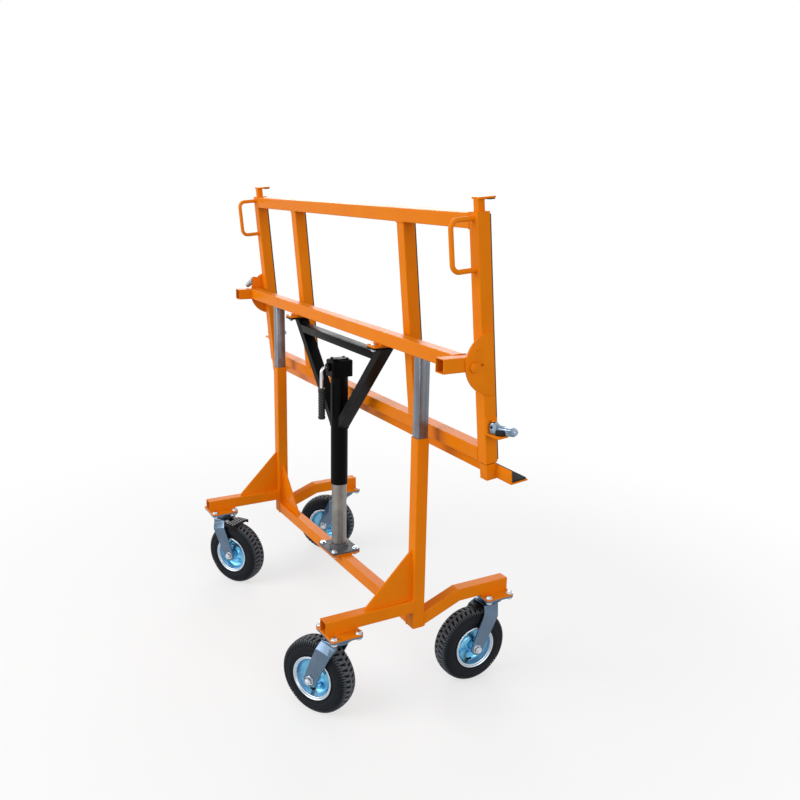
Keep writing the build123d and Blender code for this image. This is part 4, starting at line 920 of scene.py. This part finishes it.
near, far = RACK_Y
low, high = LOW_RAIL_Z
for side in SIDES:
    post = side * RACK_X
    inner = side * (RACK_X - HALF_TUBE)
    outer = RACK_X + HALF_TUBE
    upright = (side * UPRIGHT_X - HALF_TUBE, side * UPRIGHT_X + HALF_TUBE)
    weld_round(RACK, 0, inner, RACK_Y, TOP_RAIL_Z)
    weld(RACK, [(inner, near, low), (inner, near, high), (inner, far, high)])
    for level in (TOP_RAIL_Z[0], high):
        weld_round(RACK, 2, level, upright, RACK_Y)
    for out, y, ends in PLATE_RUNS:
        weld(RACK, [(side * (outer + out), y, z) for z in ends])
    weld_round(RACK, 0, side * (outer + LOCK_OUT), LOCK_Y, LOCK_Z)
    for level in HANDLE_Z:
        root = [(post + x, HANDLE_Y, level + z) for x, z in circle(HANDLE_R, 6)]
        weld(RACK, root, True)
    for off in (-SHELF_HALF, SHELF_HALF):
        weld(SHELF, [(post + off, SHELF_Y, z) for z in SHELF_Z])
weld(FOOT, [(x, JACK_Y + y, COLLAR_Z) for x, y in circle(COLLAR_R, 24)], True)
print("runs in all", sum(len(found) for found in runs.values()))

# %% Draw the beads
BEAD_R = 2.3
RIPPLE = 3.2


def draw_run(bead, points, closed):
    """A line with a point for each ripple, and a radius that wanders."""
    chain = []
    for start, end in zip(points, points[1:] + (points[:1] if closed else [])):
        steps = max(2, round((end - start).length / (RIPPLE * MM)))
        chain += [start.lerp(end, step / steps) for step in range(steps)]
    if not closed:
        chain.append(points[-1])
    spline = bead.splines.new("POLY")
    spline.points.add(len(chain) - 1)
    spline.use_cyclic_u = closed
    spline.use_smooth = True
    for count, (point, where) in enumerate(zip(spline.points, chain)):
        point.co = (*where, 1.0)
        point.radius = 1.0 + 0.16 * math.sin(2.6 * count) + 0.08 * math.sin(0.7 * count)


for (body, slot), found in runs.items():
    bead = bpy.data.curves.new(f"weld_{body}_{slot}", "CURVE")
    bead.dimensions = "3D"
    bead.bevel_depth = BEAD_R * MM
    bead.bevel_resolution = 1
    bead.use_fill_caps = True
    for points, closed in found:
        draw_run(bead, points, closed)
    line = bpy.data.objects.new("bead_line", bead)
    piece = put(bead.name, bpy.data.meshes.new_from_object(line))
    bpy.data.objects.remove(line)
    finish_of[piece.name] = slot
    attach(piece, body)
    print(piece.name, len(found), "runs", len(piece.data.polygons), "faces")

# %% [markdown]
# ## Finishes
# Every finish starts from the real material. Photographs of paint and metal could be wrapped
# round the pieces, but patterns worked out by nodes fit any shape. `surface` builds what all
# these finishes share: a colour that drifts, a fine grain in relief and a roughness that
# wanders, so that no face is one flat colour. Real grain is finer than the render can show,
# so it is drawn about a millimetre wide.

# %% Material helpers
finishes = {}


def linear(hex_text):
    """sRGB hex to linear RGBA."""
    parts = [int(hex_text[i : i + 2], 16) / 255 for i in (1, 3, 5)]
    parts = [p / 12.92 if p <= 0.04045 else ((p + 0.055) / 1.055) ** 2.4 for p in parts]
    return (*parts, 1.0)


def per(size_mm):
    """Scale of a pattern whose features have this size."""
    return 1.0 / (size_mm * MM)


def wire(node, in_order=(), **named):
    """Set or link the sockets of a node, in order or by name."""
    given = list(zip(node.inputs, in_order))
    given += [(node.inputs[name.replace("_", " ")], value) for name, value in named.items()]
    for socket, value in given:
        if isinstance(value, bpy.types.NodeSocket):
            node.id_data.links.new(value, socket)
        else:
            socket.default_value = value


def add(tree, kind, settings=None, in_order=(), **named):
    """One node with its settings, and its sockets set or linked."""
    made = tree.nodes.new("ShaderNode" + kind)
    for name, value in (settings or {}).items():
        setattr(made, name, value)
    wire(made, in_order, **named)
    return made


print("middle grey is", [round(part, 3) for part in linear("#808080")])

# %% What all the finishes share
def surface(name, low, high, blotch_mm, grain_mm, bump_mm, rough, metal=0.0, shine=0.5):
    """A finish: two colours that drift, grain in relief, and a roughness that wanders."""
    made = bpy.data.materials.new(name)
    made.use_nodes = True
    tree = made.node_tree
    shader = tree.nodes["Principled BSDF"]
    where = add(tree, "TexCoord").outputs["Object"]
    blotch = add(tree, "TexNoise", Vector=where, Scale=per(blotch_mm), Detail=4.0, Roughness=0.6)
    grain = add(tree, "TexNoise", Vector=where, Scale=per(grain_mm), Detail=2.0, Roughness=0.5)
    drift = add(tree, "MapRange", Value=blotch.outputs["Fac"], From_Min=0.32, From_Max=0.68)
    drift = drift.outputs["Result"]
    tint = add(tree, "MixRGB", Fac=drift, Color1=linear(low), Color2=linear(high))
    wander = add(tree, "MapRange", Value=drift, To_Min=rough[0], To_Max=rough[1])
    height = grain.outputs["Fac"]
    relief = add(tree, "Bump", Height=height, Strength=0.6, Distance=bump_mm * MM)
    wire(shader, Base_Color=tint.outputs["Color"], Roughness=wander.outputs["Result"],
         Normal=relief.outputs["Normal"], Metallic=metal, Specular_IOR_Level=shine)
    finishes[name] = made
    return tree, shader, tint.outputs["Color"]


# Orange powder coat: even and glossy, with the slight orange-peel relief of baked powder.
ORANGE = ("#E67C08", "#EC830E", 180, 2.2, 0.05, (0.26, 0.36))
surface("orange_paint", *ORANGE, shine=0.06)
print("first finish", list(finishes))


# %% Painted steel
def by_mark(made, mark, plain=None, marked=None):
    """Another colour where an attribute of the mesh is 0, or where it is 1."""
    tree, shader, tint = made
    amount = add(tree, "Attribute", {"attribute_name": mark}).outputs["Fac"]
    mixed = add(tree, "MixRGB", Fac=amount, Color1=plain or tint, Color2=marked or tint)
    wire(shader, Base_Color=mixed.outputs["Color"])


# The same coat where tube slides in tube: scuffed brown, with smears of grease, and the same
# brown painted as shade in a thin line just under the mouth of each post.
shaded_slid_paint = surface("scuffed_paint_and_shade", *ORANGE, shine=0.06)
tree = shaded_slid_paint[0]
where = add(tree, "TexCoord").outputs["Object"]
smear = add(tree, "TexNoise", Vector=where, Scale=per(9.0), Detail=3.0).outputs["Fac"]
grease_and_shade = add(tree, "MixRGB", Fac=smear, Color1=linear("#723A08"), Color2=linear("#A65B12"))
by_mark(shaded_slid_paint, "shade_and_scuff", marked=grease_and_shade.outputs["Color"])
# Black satin powder coat on the jack and its bracket: soft grey sheen on the edges only.
surface("black_paint", "#060607", "#0B0B0C", 120, 1.6, 0.05, (0.3, 0.44), shine=0.05)
# Black coat on the pedals, rubbed through to grey steel along the ridges of the tread, where the
# pale grey also stands for glints of light: a painted highlight.
pedal = surface("rubbed_paint_and_glint", "#0A0A0B", "#121213", 40, 1.2, 0.05, (0.34, 0.48), shine=0.15)
by_mark(pedal, "rubbed_and_glint", marked=linear("#B4B7BA"))
# Grey paint on the jack's foot plate: flatter, a little chalky.
surface("jack_grey", "#4E5054", "#5E6064", 60, 1.4, 0.05, (0.4, 0.52), shine=0.3)
print("painted", list(finishes))

# %% Plated and bare metal
# Zinc-plated stampings of the casters: dull blue-grey, smooth.
surface("zinc_fork", "#5C6F82", "#66798D", 55, 0.9, 0.02, (0.2, 0.28), metal=0.9)
# Zinc plate on brackets and small plates: paler grey, clean.
surface("zinc", "#8B939C", "#A8AFB7", 45, 0.9, 0.02, (0.26, 0.38), metal=0.95)
# Bright zinc on new bolts, nuts and washers: silvery, with small clear highlights.
surface("zinc_bright", "#B9C0C7", "#D2D7DC", 30, 0.9, 0.02, (0.18, 0.28), metal=1.0)
# Plated castings of the cam levers: blue-grey, with wide blotches of dark blue and pale grey
# that stand for reflections: painted highlights and painted shade.
surface("cast_zinc_painted_light_and_shade", "#4A6177", "#A6B6C6", 15, 0.8, 0.06, (0.16, 0.28), metal=0.95)
# Chromed crank rod: clear reflections.
surface("chrome", "#C9CACC", "#DADBDD", 50, 0.8, 0.005, (0.08, 0.16), metal=1.0)
# Turned bronze of the jack's nut: warm yellow, half bright.
surface("bronze", "#9A7A3C", "#B08D48", 30, 0.7, 0.02, (0.28, 0.4), metal=1.0)
# Bare inner tube of the jack under a film of oil: smooth, warm grey.
surface("oiled_steel", "#7C7A77", "#918F8B", 50, 0.9, 0.02, (0.3, 0.4), metal=1.0)
# Oiled dark steel of the gears and screw: nearly black, with a soft shine.
surface("dark_steel", "#3C3C3F", "#4E4E52", 30, 0.8, 0.02, (0.3, 0.44), metal=1.0)
# Blue-passivated zinc, smooth and bright: silver on the rolled lip, and a deep blue in the dish
# that is partly the plating's tint and partly painted shade in the hollow.
rim = surface("zinc_blue_dish_shade", "#539EC8", "#85C6E1", 40, 1.0, 0.02, (0.3, 0.42), metal=1.0)
by_mark(rim, "dish_shade", plain=linear("#C6CED6"))
print("finishes so far", len(finishes))

# %% Galvanised tube
# Galvanised drawn tube: smooth grey with long streaks down its length, and only a trace of
# the spangle of zinc crystals a few millimetres across.
DRAWN = ("#6C7078", "#7E838C", 90, 1.2, 0.015, (0.18, 0.28))
CRYSTAL = 7.0
STREAK = (9.0, 9.0, 400.0)
tree, shader, tint = surface("galvanised", *DRAWN, metal=0.9)
where = add(tree, "TexCoord").outputs["Object"]
crystals = add(tree, "TexVoronoi", Vector=where, Scale=per(CRYSTAL)).outputs["Color"]
spangle = add(tree, "RGBToBW", Color=crystals).outputs["Val"]
drawn = add(tree, "Mapping", Vector=where, Scale=[per(size) for size in STREAK])
streak = add(tree, "TexNoise", Vector=drawn.outputs["Vector"], Scale=1.0, Detail=3.0)
mixed = add(tree, "MixRGB", Fac=0.08, Color1=streak.outputs["Fac"], Color2=spangle)
level = add(tree, "MapRange", Value=mixed.outputs["Color"], From_Min=0.3, From_Max=0.7,
            To_Min=0.7, To_Max=1.3)
lined = add(tree, "VectorMath", {"operation": "SCALE"}, Vector=tint,
            Scale=level.outputs["Result"])
wire(shader, Base_Color=lined.outputs["Vector"])
print("galvanised nodes", len(tree.nodes))

# %% Rubber and plastic
# Black rubber pads and strips: matt with a fine moulded grain.
surface("black_rubber", "#0E0E10", "#161618", 40, 0.8, 0.08, (0.66, 0.8), shine=0.3)
# Tyre rubber: near black on the walls, greyer on the tread, for the dust that clings there and
# as a painted highlight on the block tops.
tyre = surface("tyre_rubber", "#0B0F14", "#11161C", 25, 0.9, 0.1, (0.46, 0.62), shine=0.14)
by_mark(tyre, "dust_and_sheen", marked=linear("#585C62"))
# Moulded black plastic of caps and grips: satin, a little paler than the rubber.
surface("black_plastic", "#101012", "#18181A", 60, 1.0, 0.05, (0.4, 0.52), shine=0.35)
print("finishes", len(finishes))

# %% Give every node and piece its finish
for name, thing in nodes.items():
    thing.data.materials.clear()
    thing.data.materials.append(finishes[own_finish.get(name, node_slot[name])])
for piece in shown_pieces():
    if piece.name in finish_of:
        piece.data.materials.append(finishes[finish_of[piece.name]])

# %% [markdown]
# ## Floor, light and camera
# A pale floor and an even white world give the plain studio look. A curved backdrop would
# show in other views, so the floor fades into the white world before a horizon shows, and it
# is grey only for the light that it throws back up. The key lamp in front makes the front
# faces brighter than the sides, a weak lamp fills the right, and one behind puts the pale
# sheen on all that faces up. The camera stands where the photograph was taken from.

# %% Floor
FLOOR_HALF = 12.0  # metres, like all that follows
bm = bmesh.new()
bmesh.ops.create_grid(bm, x_segments=1, y_segments=1, size=FLOOR_HALF)
mesh = bpy.data.meshes.new("floor")
bm.to_mesh(mesh)
bm.free()
floor = put("floor", mesh)
print("floor", [round(side, 1) for side in floor.dimensions], "m")

# %% Paper for the floor
FADE = (0.9, 2.4)


def seen(tree):
    """1 for what is seen straight, in a mirror or through glass, and 0 for its light."""
    rays = add(tree, "LightPath").outputs
    largest = {"operation": "MAXIMUM"}
    pair = add(tree, "Math", largest, (rays["Is Camera Ray"], rays["Is Glossy Ray"]))
    both = add(tree, "Math", largest, (pair.outputs[0], rays["Is Transmission Ray"]))
    return both.outputs[0]


# Matt white paper: no shine, so that only the cart's soft shadow shows on it.
paper = bpy.data.materials.new("white_paper")
paper.use_nodes = True
tree = paper.node_tree
shown = seen(tree)
shade = add(tree, "MixRGB", Fac=shown, Color1=linear("#A8A8A8"), Color2=linear("#F6F6F6"))
shader = tree.nodes["Principled BSDF"]
wire(shader, Base_Color=shade.outputs["Color"], Roughness=0.95, Specular_IOR_Level=0.0)
where = add(tree, "TexCoord").outputs["Object"]
far = add(tree, "VectorMath", {"operation": "LENGTH"}, Vector=where).outputs["Value"]
fade = add(tree, "MapRange", {"interpolation_type": "SMOOTHSTEP"}, Value=far,
           From_Min=FADE[0], From_Max=FADE[1], To_Min=0.62)
away = add(tree, "Math", {"operation": "MULTIPLY"}, (fade.outputs["Result"], shown))
glow = add(tree, "Emission", Color=(1, 1, 1, 1), Strength=1.0)
shaders = (away.outputs[0], shader.outputs["BSDF"], glow.outputs["Emission"])
join = add(tree, "MixShader", in_order=shaders)
wire(tree.nodes["Material Output"], Surface=join.outputs["Shader"])
mesh.materials.append(paper)
print("paper nodes", len(tree.nodes))

# %% World
WORLD_LIGHT = 0.5
WORLD_WHITE = 1.0
scene = bpy.context.scene
world = bpy.data.worlds.new("studio")
scene.world = world
world.use_nodes = True
tree = world.node_tree
tree.nodes.clear()
level = add(tree, "MapRange", Value=seen(tree), To_Min=WORLD_LIGHT, To_Max=WORLD_WHITE)
sky = add(tree, "Background", Color=(1, 1, 1, 1), Strength=level.outputs["Result"])
add(tree, "OutputWorld", Surface=sky.outputs["Background"])
print("world nodes", len(tree.nodes))


# %% Lamps
def lamp(name, where, aim_z, size, watts):
    """A square soft lamp aimed at a height over the origin."""
    data = bpy.data.lights.new(name, "AREA")
    data.size = size
    data.energy = watts
    made = put(name, data)
    made.location = where
    aim = Vector((0, 0, aim_z)) - Vector(where)
    made.rotation_euler = aim.to_track_quat("-Z", "Y").to_euler()
    print(name, "lamp", round(aim.length, 1), "m away")


lamp("key", (-0.6, -7.2, 3.8), aim_z=0.7, size=6.0, watts=410)
lamp("fill", (17.0, 0.4, 6.0), aim_z=0.6, size=9.2, watts=960)
lamp("back", (-6.2, 3.4, 4.0), aim_z=0.6, size=4.0, watts=140)

# %% Camera
CAMERA_AT = (2.462313, -1.175983, 1.492855)
TURN, PITCH, ROLL = 59.907, 14.295, 1.174  # degrees
scene.view_settings.view_transform = "Standard"
camera_data = bpy.data.cameras.new("camera")
camera_data.sensor_width = 36.0
camera_data.lens = 38.46
camera_data.clip_end = 60.0
camera = put("camera", camera_data)
camera.matrix_world = (
    Matrix.Translation(CAMERA_AT)
    @ Matrix.Rotation(math.radians(TURN), 4, "Z")
    @ Matrix.Rotation(math.pi / 2 - math.radians(PITCH), 4, "X")
    @ Matrix.Rotation(math.radians(ROLL), 4, "Z")
)
scene.camera = camera
print("camera", round(Vector(CAMERA_AT).xy.length, 2), "m from the middle of the cart")
